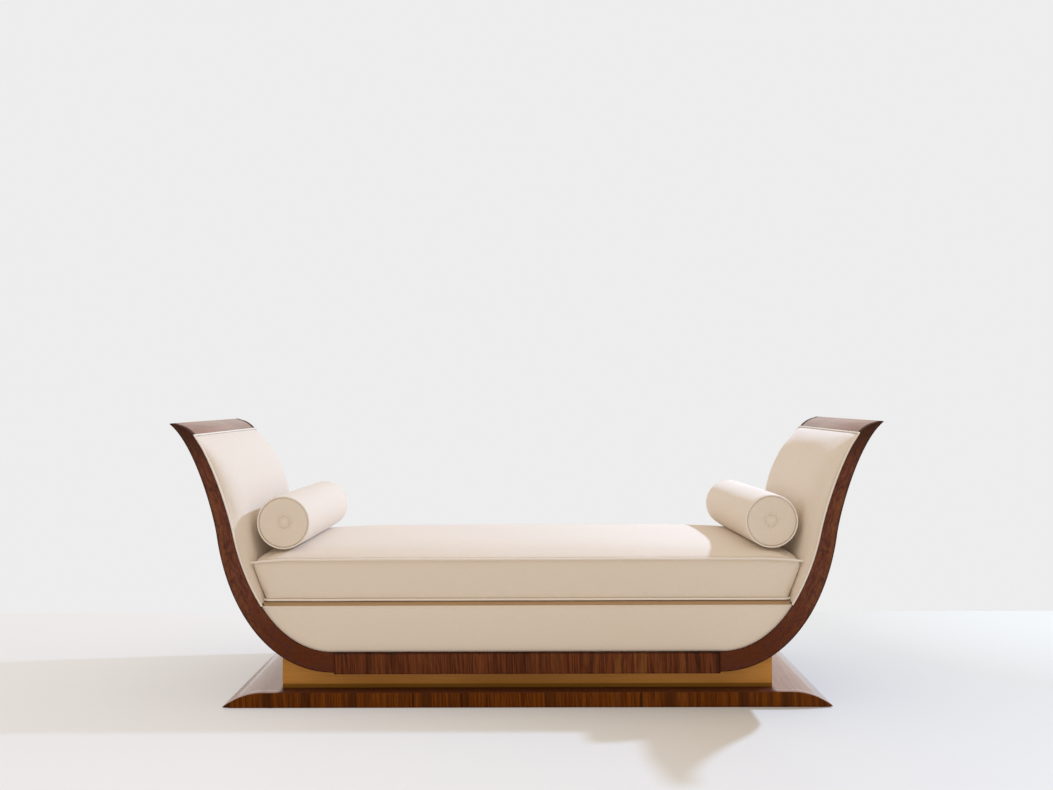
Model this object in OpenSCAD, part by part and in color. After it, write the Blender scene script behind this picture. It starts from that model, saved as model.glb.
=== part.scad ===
// Boat-shaped recamier: two S-curved bands front and back on a box pedestal and a low plinth,
// with upholstered arms and aprons, a loose boxed cushion and two round bolsters.
// X runs along the length, Y from front to back, Z up. The origin is on the floor, under the centre.

/* [Frame] */
// Length of the straight rail between the two curved bands
center_rail_l = 1140; // [900:10:1500]
// Run of the hull from the end of the straight rail out to the waist of the band
hull_run = 346; // [290:1:400]
// Flare of the arm from the waist out to its tip
arm_flare = 139; // [100:1:180]
// Height of the waist above the underside of the hull
waist_rise = 403; // [370:1:440]
// Height of the tip above the waist
arm_rise = 333; // [280:1:380]
// Depth over the outer faces of the curved bands
frame_d = 684; // [600:2:800]

/* [Curved bands] */
// Thickness of each band from its face to the upholstery behind it
band_d = 28; // [20:1:36]
// Width of the band just below its tip
band_tip_w = 30; // [26:1:38]
// Width of the band at the waist
band_waist_w = 45.5; // [42:0.5:54]
// Width of the band at its foot
band_foot_w = 56.5; // [50:0.5:66]
// Length over which the band narrows to its tip
nose_l = 60; // [45:1:80]
// Slope of the tip below the horizontal
tip_slope = 38.4; // [30:0.2:46]
// Lean of the band off the vertical at the waist
waist_lean = 8; // [4:0.5:12]
// Reach of the curve out of the tip
tip_reach = 92; // [70:1:115]
// Reach of the curve above the waist
waist_reach_up = 73; // [50:1:100]
// Reach of the curve below the waist
waist_reach_down = 229; // [190:1:260]
// Reach of the curve out of the foot
foot_reach = 186; // [150:1:220]
// Length along the tip that the wooden cap covers
cap_l = 54; // [45:1:75]

/* [Rails and skins] */
// Height of the straight rail
rail_h = 61; // [56:1:70]
// Distance that the straight rail stands out in front of the bands
rail_proud = 3; // [1:0.5:6]
// Distance that the straight rail hangs below the bands
rail_drop = 4; // [0.5:0.5:6]
// Radius of the corners of the straight rail
rail_corner_r = 2.5; // [1:0.5:5]
// Thickness of the bent skin on the outside of the arms
skin_t = 9; // [6:1:11]
// Thickness of the flat bottom panel
bottom_t = 12; // [9:1:18]
// Diameter of the dowels between a band and the straight rail
dowel_d = 10; // [8:1:12]
// Length of those dowels
dowel_l = 60; // [40:2:80]

/* [Plinth] */
// Distance that the plinth reaches past the pedestal at each end
base_reach = 166; // [150:2:220]
// Distance that the plinth stands out in front of the bands
base_overhang = 3; // [0:1:20]
// Height of the plinth above its glides
base_h = 43; // [36:1:60]
// Length of each bowed end
base_end_l = 120; // [90:1:135]
// Power that sets how full the bowed end is
base_end_power = 2.1; // [1.6:0.1:3]
// Thickness of the plinth's end at its thinnest
base_tip_t = 2; // [1:0.5:4]
// Height of the undercut below the thin end
undercut_h = 2; // [1:0.5:4]
// Length of that undercut
undercut_l = 26; // [15:1:40]
// Thickness of the plinth's front and back rails
base_rail_t = 30; // [26:1:38]
// Thickness of the plinth's top panel
base_top_t = 12; // [9:1:18]
// Height of the floor glides
glide_h = 3; // [2:0.5:6]
// Diameter of the floor glides
glide_d = 24; // [16:1:25]
// Distance from the plinth's thin end in to its outer glides
glide_inset = 140; // [125:5:200]

/* [Pedestal] */
// Height of the pedestal at its middle
pedestal_h = 58; // [50:1:90]
// Distance that the pedestal runs on past the straight rail at each end
pedestal_run = 164; // [130:2:180]
// Distance from the bands' faces back to the pedestal's
pedestal_setback = 50; // [42:1:80]
// Thickness of the pedestal's panels
panel_t = 18; // [15:1:22]
// Width of the square blocks in its corners
block_w = 40; // [34:1:46]
// Height of those blocks
block_h = 48; // [34:1:49]
// Width and height of the battens under the hull
ledger_w = 30; // [24:1:34]

/* [Seat] */
// Height of the seat deck above the underside of the hull
deck_rise = 202; // [190:1:215]
// Thickness of the padded deck
deck_t = 11.7; // [8:0.1:16]
// Thickness of the seat rails
seat_rail_t = 22; // [18:1:26]
// Height of the seat rails
seat_rail_h = 90; // [70:1:100]
// Thickness of the webbing
web_t = 2; // [1.5:0.5:3]
// Width of the webbing
web_w = 50; // [40:1:60]
// Thickness of the apron's board
apron_board_t = 12; // [9:1:14]
// Distance from the top of the deck down to the top of the aprons
apron_drop = 8; // [0:0.5:10]
// Thickness of the apron's padding at its edges
apron_pad_t = 7; // [5:0.5:9]
// Crown of the apron's padding
apron_crown = 4; // [1:0.5:5]

/* [Arm upholstery] */
// Depth that the arm's padding is let into the band
arm_sink = 12; // [9:0.5:13]
// Height of the padding above the band at its edges
arm_edge = 4; // [2:0.5:6]
// Crown of the arm's padding beside the cushion
arm_crown = 26; // [14:1:32]
// Further crown of the padding above the cushion
arm_bulge = 22; // [0:1:30]
// Distance from the band's face back to the welt of the arm
welt_setback = 1; // [0.5:0.5:4]
// Diameter of the welts
welt_d = 7; // [5:0.5:9]

/* [Cushion] */
// Distance from the inner faces of the bands in to the cushion's front and back
cushion_side_gap = 4; // [2:0.5:20]
// Height of the boxing between the two welts
boxing_h = 126; // [90:1:150]
// Crown of the cushion's top
cushion_crown = 38; // [20:1:50]
// Radius of the cushion's corners
cushion_corner_r = 30; // [24:1:45]
// Gap between the cushion's ends and the arms
cushion_gap = 3; // [2:0.5:10]
// Height of the bottom welt above the cushion's underside
cushion_roll = 7; // [6:0.5:12]
// Thickness of the wadding and cloth around the foam
wadding_t = 20; // [14:1:30]

/* [Bolsters] */
// Diameter of the bolsters
bolster_d = 164; // [130:2:190]
// Distance from the cushion's front and back in to the bolster's ends
bolster_end_gap = 35; // [20:1:80]
// Distance that a bolster lies in from the end of the cushion
bolster_inset = 7; // [0:1:40]
// Depth that a bolster sinks into the cushion
bolster_sink = 5; // [3:0.5:10]
// Turn of the left bolster, front end outward
left_bolster_turn = 1.7; // [0:0.1:4]
// Turn of the right bolster, front end outward
right_bolster_turn = 2.7; // [0:0.1:4]
// Depth of the dish in the bolster's ends
dish = 10; // [6:0.5:16]
// Diameter of the covered buttons
button_d = 36; // [28:1:44]
// Thickness of the covered buttons
button_t = 9; // [6:0.5:12]

/* [Hidden] */
// Overrun of cuts
over = 1;
// Running gap between loose pieces
gap = 0.35;
// Gap around dowels, bolts and twine
fit_gap = 0.1;
// Gap that welts keep from the edge they lie on
welt_gap = 0.1;
// Step to which the cushion's length is cut
cutting_step = 0.5;

// Stops per curve along the S of the bands, and extra ones in the nose
curve_steps = 22;
nose_steps = 6;
nose_share = 0.1;
// Least step between two stops
least_step = 0.0001;
// Powers that set how blunt the tip is, at its very end and from this share of the nose on
nose_end_power = 0.62;
nose_power = 0.92;
nose_end_share = 0.25;
// Share of the lower curve over which the band swells to its foot width
swell_share = 0.42;
// Stretch of the S where battens hold the arm, and where its padding lies, as shares of its two curves
batten_end_share = 1.8;
pad_end_share = 1.39;
// Places of the stretchers and webs of an arm along its S
stretcher_shares = [0.27, 1.0, 1.43];
arm_web_shares = [0.42, 0.58, 0.74, 0.89, 1.09, 1.19, 1.29];
stretcher_w = 30;

bore_fn = 48;
turned_fn = 96;
welt_sides = 8;

dowel_rise_shares = [0.3, 0.7];
bolt_d = 8;
bolt_head_d = 15;
bolt_head_h = 5.3;
bolt_grip_l = 28;
hull_bolt_shares = [-0.84, -0.28, 0.28, 0.84];
web_place_shares = [-0.66, 0, 0.66];
rib_place_shares = [-0.78, -0.27, 0.27, 0.78];
rib_t = 22;
end_lap_l = 12;
ledger_trim_l = 24;

deck_web_n = 13;
deck_long_web_n = 4;
end_rail_inset = 14;
end_rail_h = 72;

apron_end_h = 8;
apron_rows = 5;
apron_mid_columns = 6;
arm_columns = 12;
crown_power = 4;
arm_side_power = 10;
// Places along the S where the arm's further crown is highest and where it ends
arm_bulge_share = 0.66;
arm_bulge_end_share = 1.08;
// Share of a step by which the underside of the arm's padding is shorter at its ends
arm_tuck_share = 0.4;
cushion_end_power = 6;
corner_steps = 3;
// Places across and along the cushion's flat parts
cushion_row_shares = [-0.94, -0.62, -0.22, 0.22, 0.62, 0.94];
cushion_mid_shares = [-0.8, -0.4, 0, 0.4, 0.8];
// Places of the cushion's stops under a bolster, in bolster radii from its axis
trough_shares = [-0.95, -0.6, -0.3, 0, 0.3];
// Room that the flat facets of the trough take below the bolster
trough_gap = 1.9;
notch_share = 1.1;
welt_out_share = 0.35;
boxing_bow = 3;
cushion_tuck = 14;
foam_inset = 8;

bolster_end_draw = 3;
end_steps = 6;
body_steps = 5;
twine_d = 2.4;
core_wadding_t = 18;

rosewood = [0.40, 0.18, 0.10];
honey = [0.76, 0.56, 0.30];
carcass = [0.80, 0.67, 0.47];
cloth = [0.93, 0.88, 0.82];
jute = [0.66, 0.55, 0.38];
foam = [0.96, 0.90, 0.62];
steel = [0.62, 0.64, 0.66];
felt = [0.30, 0.29, 0.28];

base_top_z = glide_h + base_h;
hull_z = base_top_z + pedestal_h;
waist_z = hull_z + waist_rise;
tip_z = waist_z + arm_rise;
foot_x = center_rail_l / 2;
waist_x = foot_x + hull_run;
tip_x = waist_x + arm_flare;
face_y = frame_d / 2;
inner_y = face_y - band_d;
batten_y = inner_y - seat_rail_t;
base_y = face_y + base_overhang;
base_inner_y = base_y - base_rail_t;
pedestal_y = face_y - pedestal_setback;
pedestal_x = foot_x + pedestal_run;
base_x = pedestal_x + base_reach;
base_flat_x = base_x - base_end_l;
web_depth = 2 * (pedestal_y - panel_t);
deck_z = hull_z + deck_rise;
apron_z = deck_z - apron_drop;
web_top_z = deck_z - deck_t;
seat_rail_z = web_top_z - 2 * web_t;
rail_z = hull_z - rail_drop;
rail_top_z = rail_z + rail_h;
welt_r = welt_d / 2;
cap_q = cap_l / (3 * tip_reach);

// Points of the two cubic curves of the outer edge, from the tip to the waist and on to the foot
waist_up = [sin(waist_lean), cos(waist_lean)];
arm_curve = [
    [tip_x, tip_z],
    [tip_x, tip_z] - tip_reach * [cos(tip_slope), sin(tip_slope)],
    [waist_x, waist_z] + waist_reach_up * waist_up,
    [waist_x, waist_z]
];
hull_curve = [
    [waist_x, waist_z],
    [waist_x, waist_z] - waist_reach_down * waist_up,
    [foot_x + foot_reach, hull_z],
    [foot_x, hull_z]
];

function mix(a, b, s) = a + (b - a) * s;
function unit(v) = v / norm(v);
function curve_at(p, u) =
    p[0] * pow(1 - u, 3) + p[1] * 3 * u * pow(1 - u, 2) + p[2] * 3 * u * u * (1 - u) + p[3] * pow(u, 3);
function curve_way(p, u) =
    unit((p[1] - p[0]) * pow(1 - u, 2) + (p[2] - p[1]) * 2 * u * (1 - u) + (p[3] - p[2]) * u * u);

// The S of a band: q runs from 0 at the tip over 1 at the waist to 2 at the foot
function way(q) = q <= 1 ? curve_way(arm_curve, q) : curve_way(hull_curve, q - 1);
function edge(q) = q <= 1 ? curve_at(arm_curve, q) : curve_at(hull_curve, q - 1);
function inward(q) = [way(q)[1], -way(q)[0]];
function at(q, n) = edge(q) + n * inward(q);

// Width of a band, narrowing to the tip and swelling to the foot
function nose(q) =
    let (s = min(3 * tip_reach * q / nose_l, 1))
    pow(sin(90 * s), mix(nose_end_power, nose_power, min(s / nose_end_share, 1)));
function swell(q) = sin(90 * min(max(q - 1, 0) / swell_share, 1));
function band_w(q) =
    q <= 1 ? nose(q) * mix(band_tip_w, band_waist_w, q) : mix(band_waist_w, band_foot_w, swell(q));

// Stops along the S, closer together in the nose
stops = concat(
    [for (i = [0:nose_steps - 1]) nose_share * pow(i / nose_steps, 2)],
    [for (i = [0:curve_steps]) mix(nose_share, 1, i / curve_steps)],
    [for (i = [1:curve_steps]) 1 + i / curve_steps]
);
function between(q0, q1) =
    concat([q0], [for (q = stops) if (q > q0 + least_step && q < q1 - least_step) q], [q1]);
function reversed(list) = [for (i = [len(list) - 1:-1:0]) list[i]];

// Point at a given depth on the chord between the stops around q, so that neighbours share one outline
function on_chord(q, depth) =
    let (
        a = max([for (s = stops) if (s <= q) s]),
        b = min([for (s = stops) if (s >= q) s]),
        share = a == b ? 0 : (q - a) / (b - a)
    )
    mix(at(a, depth(a)), at(b, depth(b)), share);

// Place where a falling function crosses zero
function crossing(f, lo, hi, turns = 26) =
    let (mid = (lo + hi) / 2)
    turns == 0 ? mid : f(mid) > 0 ? crossing(f, mid, hi, turns - 1) : crossing(f, lo, mid, turns - 1);

// Height of the arm's padding above the band's inner edge
pad_side_y = face_y - welt_setback - 2 * (welt_r + welt_gap);
function along_pad(q) = (q - cap_q) / (pad_end_share - cap_q);
function dome(s, power) = 1 - pow(abs(s), power);
function bump(s) = pow(sin(90 * max(min(s, 1), 0)), 2);
function bulge_at(q) = q < arm_bulge_share
    ? bump((q - cap_q) / (arm_bulge_share - cap_q))
    : bump((arm_bulge_end_share - q) / (arm_bulge_end_share - arm_bulge_share));
function arm_rise_at(q, y) =
    let (crown = arm_crown * dome(2 * along_pad(q) - 1, crown_power) + arm_bulge * bulge_at(q))
    arm_edge + crown * dome(y / pad_side_y, arm_side_power);
function arm_face(q, y) = at(q, band_w(q) + arm_rise_at(q, y));
function arm_x(z) = arm_face(crossing(function(q) arm_face(q, 0)[1] - z, cap_q, pad_end_share), 0)[0];

// Cushion levels and lengths
cushion_z = deck_z + gap;
low_welt_z = cushion_z + cushion_roll;
top_welt_z = low_welt_z + boxing_h;
function cut_to(x) = floor(x / cutting_step) * cutting_step;
cushion_low_x = cut_to(arm_x(low_welt_z) - cushion_gap - welt_r);
cushion_top_x = cut_to(arm_x(top_welt_z) - cushion_gap - welt_r);
cushion_y = inner_y - cushion_side_gap;
notch = notch_share * welt_r;
welt_out = welt_out_share * welt_r;

bolster_r = bolster_d / 2;
bolster_x = cushion_top_x - bolster_r - bolster_inset;
bolster_half = cushion_y - bolster_end_gap;
crown_z = top_welt_z + notch;
function crown_at(x, y) =
    crown_z + cushion_crown * dome(x / cushion_top_x, cushion_end_power) * dome(y / cushion_y, crown_power);
bolster_z = crown_at(bolster_x, 0) - bolster_sink + bolster_r;

// Distance from the axis of the bolster on that side, and the cushion's top with its two troughs
function bolster_turn(hand) = hand < 0 ? left_bolster_turn : right_bolster_turn;
function off_axis(x, y) =
    let (turn = bolster_turn(x))
    abs((abs(x) - bolster_x) * cos(turn) + y * sin(turn));
function trough_at(x, y) =
    let (d = min(off_axis(x, y), bolster_r))
    bolster_z - sqrt(bolster_r * bolster_r - d * d) - trough_gap;
function cushion_top_at(x, y) = min(crown_at(x, y), trough_at(x, y));

// Outline in X and Z, carried from one depth to another
module across(y0, y1) {
    translate([0, y1, 0])
    rotate([90, 0, 0])
    linear_extrude(height = y1 - y0)
    children();
}

// Left pieces are the right ones mirrored, and back pieces the front ones
module on_side(hand) mirror([hand < 0 ? 1 : 0, 0, 0]) children();
module on_face(hand) mirror([0, hand > 0 ? 1 : 0, 0]) children();

module block(x0, x1, y0, y1, z0, z1) {
    translate([x0, y0, z0])
    cube([x1 - x0, y1 - y0, z1 - z0]);
}

// Strip that follows the S from q0 to q1 between two depths below its outer edge
module strip(q0, q1, near, far) {
    list = between(q0, q1);
    polygon(concat(
        [for (q = list) on_chord(q, near)],
        [for (q = reversed(list)) if (far(q) > near(q)) on_chord(q, far)]
    ));
}

// Numbered loop around the rim of a grid of points
function rim(rows, cols, first) = concat(
    [for (c = [0:cols - 1]) first + c],
    [for (r = [1:rows - 1]) first + r * cols + cols - 1],
    [for (c = [cols - 2:-1:0]) first + (rows - 1) * cols + c],
    [for (r = [rows - 2:-1:1]) first + r * cols]
);
function flat(grid) = [for (row = grid) each row];
function grid_faces(rows, cols, first, up) = [
    for (r = [0:rows - 2], c = [0:cols - 2])
    let (a = first + r * cols + c, b = a + 1, d = a + cols, e = d + 1)
    each up ? [[a, b, e], [a, e, d]] : [[a, e, b], [a, d, e]]
];
function wall_faces(upper, lower) = [
    for (i = [0:len(upper) - 1])
    let (j = (i + 1) % len(upper))
    each [[upper[j], upper[i], lower[i]], [upper[j], lower[i], lower[j]]]
];

// Closed soft body between two grids of points, with rings of points around its sides
module pillow(top, rings, bottom) {
    rows = len(top);
    cols = len(top[0]);
    rim_n = 2 * (rows + cols) - 4;
    low_first = rows * cols + len(rings) * rim_n;
    loops = concat(
        [rim(rows, cols, 0)],
        [for (k = [0:1:len(rings) - 1]) [for (i = [0:rim_n - 1]) rows * cols + k * rim_n + i]],
        [rim(rows, cols, low_first)]
    );
    polyhedron(
        points = concat(flat(top), flat(rings), flat(bottom)),
        faces = concat(
            grid_faces(rows, cols, 0, true),
            [for (k = [0:len(loops) - 2]) each wall_faces(loops[k], loops[k + 1])],
            grid_faces(rows, cols, low_first, false)
        )
    );
}

// Closed round cord through rings of points
module cord(rings) {
    sides = len(rings[0]);
    last = (len(rings) - 1) * sides;
    polyhedron(
        points = flat(rings),
        faces = concat(
            [[for (k = [sides - 1:-1:0]) k]],
            [
                for (i = [0:len(rings) - 2], k = [0:sides - 1])
                let (a = i * sides + k, d = i * sides + (k + 1) % sides)
                each [[a, d + sides, a + sides], [a, d, d + sides]]
            ],
            [[for (k = [0:sides - 1]) last + k]]
        )
    );
}

// Half of the plinth's outline, from the centre out to the thin end
tip_base_z = glide_h + undercut_h;
base_bow = [
    for (i = [0:12])
    let (s = i / 12)
    [
        base_flat_x + base_end_l * s,
        tip_base_z + base_tip_t + (base_h - undercut_h - base_tip_t) * (1 - pow(s, base_end_power))
    ]
];
base_half = concat(base_bow, [[base_x, tip_base_z], [base_x - undercut_l, glide_h]]);

module base_long_rail(hand) {
    color(rosewood)
    on_face(hand)
    across(-base_y, -base_inner_y)
    polygon(concat(base_half, [for (p = reversed(base_half)) [-p[0], p[1]]]));
}
module base_front_rail() base_long_rail(-1);
module base_back_rail() base_long_rail(1);

module base_end(hand) {
    x = base_flat_x - end_lap_l;
    color(rosewood)
    on_side(hand)
    across(-base_inner_y, base_inner_y)
    polygon(concat([[x, glide_h], [x, base_top_z]], base_half));
}
module base_left_end() base_end(-1);
module base_right_end() base_end(1);

// Places of the bolts up into the corner blocks
block_x = pedestal_x - panel_t - block_w / 2;
block_y = pedestal_y - panel_t - block_w / 2;
module base_bolt_places() {
    for (x = [-block_x, block_x], y = [-block_y, block_y]) {
        translate([x, y, base_top_z]) children();
    }
}

module base_top_panel() {
    end_x = base_flat_x - end_lap_l;
    color(rosewood)
    difference() {
        block(-end_x, end_x, -base_inner_y, base_inner_y, base_top_z - base_top_t, base_top_z);
        base_bolt_places()
        translate([0, 0, -base_top_t - over])
        cylinder(h = base_top_t + 2 * over, d = bolt_d + 2 * fit_gap, $fn = bore_fn);
    }
}

module base_ribs() {
    color(carcass)
    for (s = rib_place_shares) {
        translate([s * base_flat_x, 0, 0])
        block(-rib_t / 2, rib_t / 2, -base_inner_y, base_inner_y, glide_h, base_top_z - base_top_t);
    }
}

module base_bolts() {
    color(steel)
    base_bolt_places() {
        translate([0, 0, -base_top_t])
        cylinder(h = base_top_t + bolt_grip_l, d = bolt_d, $fn = bore_fn);
        translate([0, 0, -base_top_t - bolt_head_h])
        cylinder(h = bolt_head_h, d = bolt_head_d, $fn = 6);
    }
}

module floor_glides() {
    color(felt)
    for (x = [-1, 0, 1] * (base_x - glide_inset), y = [-1, 1] * (base_y - base_rail_t / 2)) {
        translate([x, y, 0]) cylinder(h = glide_h, d = glide_d, $fn = bore_fn);
    }
}

// Pedestal outline in X and Z: straight ends, and a top scribed to the underside of the hull
function hull_edge(q) = on_chord(q, function(p) 0);
pedestal_q = crossing(function(q) hull_edge(q)[0] - pedestal_x, 1, 2);
module pedestal_outline() {
    list = between(pedestal_q, 2);
    polygon(concat(
        [[-pedestal_x, base_top_z], [pedestal_x, base_top_z]],
        [for (q = list) hull_edge(q)],
        [for (q = reversed(list)) [-hull_edge(q)[0], hull_edge(q)[1]]]
    ));
}
module pedestal_long_panel(hand) {
    color(honey)
    on_face(hand)
    across(-pedestal_y, panel_t - pedestal_y)
    pedestal_outline();
}
module pedestal_front_panel() pedestal_long_panel(-1);
module pedestal_back_panel() pedestal_long_panel(1);

module pedestal_end_panel(hand) {
    color(honey)
    on_side(hand)
    across(panel_t - pedestal_y, pedestal_y - panel_t)
    intersection() {
        pedestal_outline();
        translate([pedestal_x - panel_t, base_top_z]) square([panel_t, waist_rise]);
    }
}
module pedestal_left_panel() pedestal_end_panel(-1);
module pedestal_right_panel() pedestal_end_panel(1);

module pedestal_corner_blocks() {
    color(carcass)
    base_bolt_places()
    difference() {
        block(-block_w / 2, block_w / 2, -block_w / 2, block_w / 2, 0, block_h);
        translate([0, 0, -over])
        cylinder(h = bolt_grip_l + over + fit_gap, d = bolt_d + 2 * fit_gap, $fn = bore_fn);
    }
}

module pedestal_webs() {
    color(carcass)
    for (s = web_place_shares) {
        translate([s * foot_x, 0, 0])
        difference() {
            block(-panel_t / 2, panel_t / 2, -web_depth / 2, web_depth / 2, base_top_z, hull_z);
            for (hand = [-1, 1]) {
                translate([0, hand * (web_depth - ledger_w) / 2, hull_z - ledger_w / 2])
                cube([panel_t + 2 * over, ledger_w + 2 * fit_gap, ledger_w + 2 * fit_gap], center = true);
            }
        }
    }
}

// Places of the bolts down through the bottom panel into the battens
module hull_bolt_places() {
    for (s = hull_bolt_shares, hand = [-1, 1]) {
        translate([s * foot_x, hand * (web_depth - ledger_w) / 2, hull_z]) children();
    }
}
module pedestal_ledgers() {
    end_x = foot_x - ledger_trim_l;
    color(carcass)
    difference() {
        for (hand = [-1, 1]) {
            translate([0, hand * (web_depth - ledger_w) / 2, 0])
            block(-end_x, end_x, -ledger_w / 2, ledger_w / 2, hull_z - ledger_w, hull_z);
        }
        hull_bolt_places()
        translate([0, 0, -bolt_grip_l - fit_gap])
        cylinder(h = bolt_grip_l + over, d = bolt_d + 2 * fit_gap, $fn = bore_fn);
    }
}

module hull_bolts() {
    color(steel)
    hull_bolt_places() {
        translate([0, 0, -bolt_grip_l])
        cylinder(h = bolt_grip_l + bottom_t, d = bolt_d, $fn = bore_fn);
        translate([0, 0, bottom_t])
        cylinder(h = bolt_head_h, d = bolt_head_d, $fn = 6);
    }
}

module dowel_places(hand, face) {
    for (s = dowel_rise_shares) {
        translate([hand * foot_x, face * (face_y - band_d / 2), hull_z + s * band_foot_w])
        rotate([0, 90, 0])
        children();
    }
}
module dowel_bores(hand, face) {
    dowel_places(hand, face)
    cylinder(h = dowel_l + 2 * fit_gap, d = dowel_d + 2 * fit_gap, center = true, $fn = bore_fn);
}

// One S-curved band, from its flared tip to its foot
module sickle(hand, face) {
    color(rosewood)
    difference() {
        on_side(hand)
        on_face(face)
        across(-face_y, -inner_y)
        strip(0, 2, function(q) 0, function(q) band_w(q));
        dowel_bores(hand, face);
    }
}
module front_left_sickle() sickle(-1, -1);
module front_right_sickle() sickle(1, -1);
module back_left_sickle() sickle(-1, 1);
module back_right_sickle() sickle(1, 1);

// Straight rail with small rounded corners, a little proud of the bands
function corner(x, z, turn) =
    [for (i = [0:4]) [x, z] + rail_corner_r * [cos(turn + i * 90 / 4), sin(turn + i * 90 / 4)]];
module center_rail(face) {
    x = foot_x - rail_corner_r;
    low = rail_z + rail_corner_r;
    high = rail_top_z - rail_corner_r;
    color(rosewood)
    difference() {
        on_face(face)
        across(-face_y - rail_proud, -inner_y)
        polygon(concat(corner(x, high, 0), corner(-x, high, 90), corner(-x, low, 180), corner(x, low, 270)));
        for (hand = [-1, 1]) dowel_bores(hand, face);
    }
}
module front_center_rail() center_rail(-1);
module back_center_rail() center_rail(1);

module sickle_dowels() {
    color(carcass)
    for (hand = [-1, 1], face = [-1, 1]) {
        dowel_places(hand, face)
        cylinder(h = dowel_l, d = dowel_d, center = true, $fn = bore_fn);
    }
}

// Wooden cap over the top of an arm, between its two bands
module cap(hand) {
    color(rosewood)
    on_side(hand)
    across(-inner_y, inner_y)
    strip(0, cap_q, function(q) 0, function(q) band_w(q));
}
module left_cap() cap(-1);
module right_cap() cap(1);

// Step along the S that covers half of a given length at q
function stretch(q, length) = length / (2 * norm(edge(q + 0.01) - edge(q - 0.01)) / 0.02);

// Bent veneered skin on the outside of an arm, from a fine joint at the cap round to the bottom panel
module outer_skin(hand) {
    color(rosewood)
    on_side(hand)
    across(-inner_y, inner_y)
    strip(cap_q + stretch(cap_q, 2 * fit_gap), 2, function(q) 0, function(q) skin_t);
}
module left_outer_skin() outer_skin(-1);
module right_outer_skin() outer_skin(1);

module bottom_panel() {
    color(carcass)
    difference() {
        block(-foot_x, foot_x, -inner_y, inner_y, hull_z, hull_z + bottom_t);
        hull_bolt_places()
        translate([0, 0, -over])
        cylinder(h = bottom_t + 2 * over, d = bolt_d + 2 * fit_gap, $fn = bore_fn);
    }
}

// Boards that stand on the bottom panel and carry the seat rails
module hull_bulkheads() {
    low = hull_z + bottom_t;
    color(carcass)
    for (s = web_place_shares) {
        translate([s * foot_x, 0, 0]) {
            block(-rib_t / 2, rib_t / 2, -inner_y, inner_y, low, seat_rail_z - seat_rail_h);
            block(-rib_t / 2, rib_t / 2, -batten_y, batten_y, low, seat_rail_z);
        }
    }
}

// Depths below the outer edge at which the arm's padding and the webbing under it lie
pad_sink = function(q) band_w(q) - arm_sink;
web_sink = function(q) band_w(q) - arm_sink - web_t;

module arm_battens(hand) {
    color(carcass)
    on_side(hand)
    for (face = [-1, 1]) {
        on_face(face)
        across(-inner_y, -batten_y)
        strip(cap_q, batten_end_share, function(q) skin_t, web_sink);
    }
}
module left_arm_battens() arm_battens(-1);
module right_arm_battens() arm_battens(1);

module arm_stretchers(hand) {
    color(carcass)
    on_side(hand)
    for (q = stretcher_shares) {
        half = stretch(q, stretcher_w);
        across(-batten_y, batten_y)
        strip(q - half, q + half, function(p) skin_t, web_sink);
    }
}
module left_arm_stretchers() arm_stretchers(-1);
module right_arm_stretchers() arm_stretchers(1);

module arm_webbing(hand) {
    color(jute)
    on_side(hand)
    for (q = arm_web_shares) {
        half = stretch(q, web_w);
        across(-inner_y, inner_y)
        strip(q - half, q + half, web_sink, pad_sink);
    }
}
module left_arm_webbing() arm_webbing(-1);
module right_arm_webbing() arm_webbing(1);

// Padding of an arm: sunk between the bands and carried over their inner edges to the welt
arm_welt_q = cap_q + stretch(cap_q + 0.02, 2 * (welt_r + welt_gap));
arm_pad_q = cap_q + stretch(cap_q + 0.02, 4 * (welt_r + welt_gap));
pad_seat = function(q) band_w(q) + welt_gap;
module arm_pad(hand) {
    list = between(arm_pad_q, pad_end_share);
    last = len(list) - 1;
    inner_list = [
        for (i = [0:last])
        i == 0 ? mix(list[0], list[1], arm_tuck_share)
            : i == last ? mix(list[last], list[last - 1], arm_tuck_share) : list[i]
    ];
    function sheet(places, half, place) = [
        for (q = places) [
            for (j = [0:arm_columns])
            let (y = half * sin(90 * (1 - 2 * j / arm_columns)), p = place(q, y))
            [p[0], y, p[1]]
        ]
    ];
    seat = function(q, y) on_chord(q, pad_seat);
    sunk_y = inner_y - gap;
    color(cloth)
    on_side(hand)
    pillow(
        sheet(list, pad_side_y, function(q, y) arm_face(q, y)),
        [grid_rim(sheet(list, pad_side_y, seat)), grid_rim(sheet(inner_list, sunk_y, seat))],
        sheet(inner_list, sunk_y, function(q, y) on_chord(q, pad_sink))
    );
}
module left_arm_pad() arm_pad(-1);
module right_arm_pad() arm_pad(1);

// Welt up one band, across below the cap and down the other band, with mitred corners
module arm_welt(hand) {
    side_y = face_y - welt_setback - welt_r;
    angles = [for (k = [0:welt_sides - 1]) 360 * k / welt_sides];
    function ring(q, face, turned) = [
        for (a = angles)
        let (p = at(q, pad_seat(q) + welt_r * (1 + cos(a))) + turned * welt_r * sin(a) * way(q))
        [p[0], face * (side_y - welt_r * sin(a)), p[1]]
    ];
    leg = [for (q = between(arm_welt_q, apron_q)) if (q > arm_welt_q) q];
    color(cloth)
    on_side(hand)
    cord(concat(
        [for (q = reversed(leg)) ring(q, -1, 0)],
        [ring(arm_welt_q, -1, 1), ring(arm_welt_q, 1, 1)],
        [for (q = leg) ring(q, 1, 0)]
    ));
}
module left_arm_welt() arm_welt(-1);
module right_arm_welt() arm_welt(1);

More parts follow.
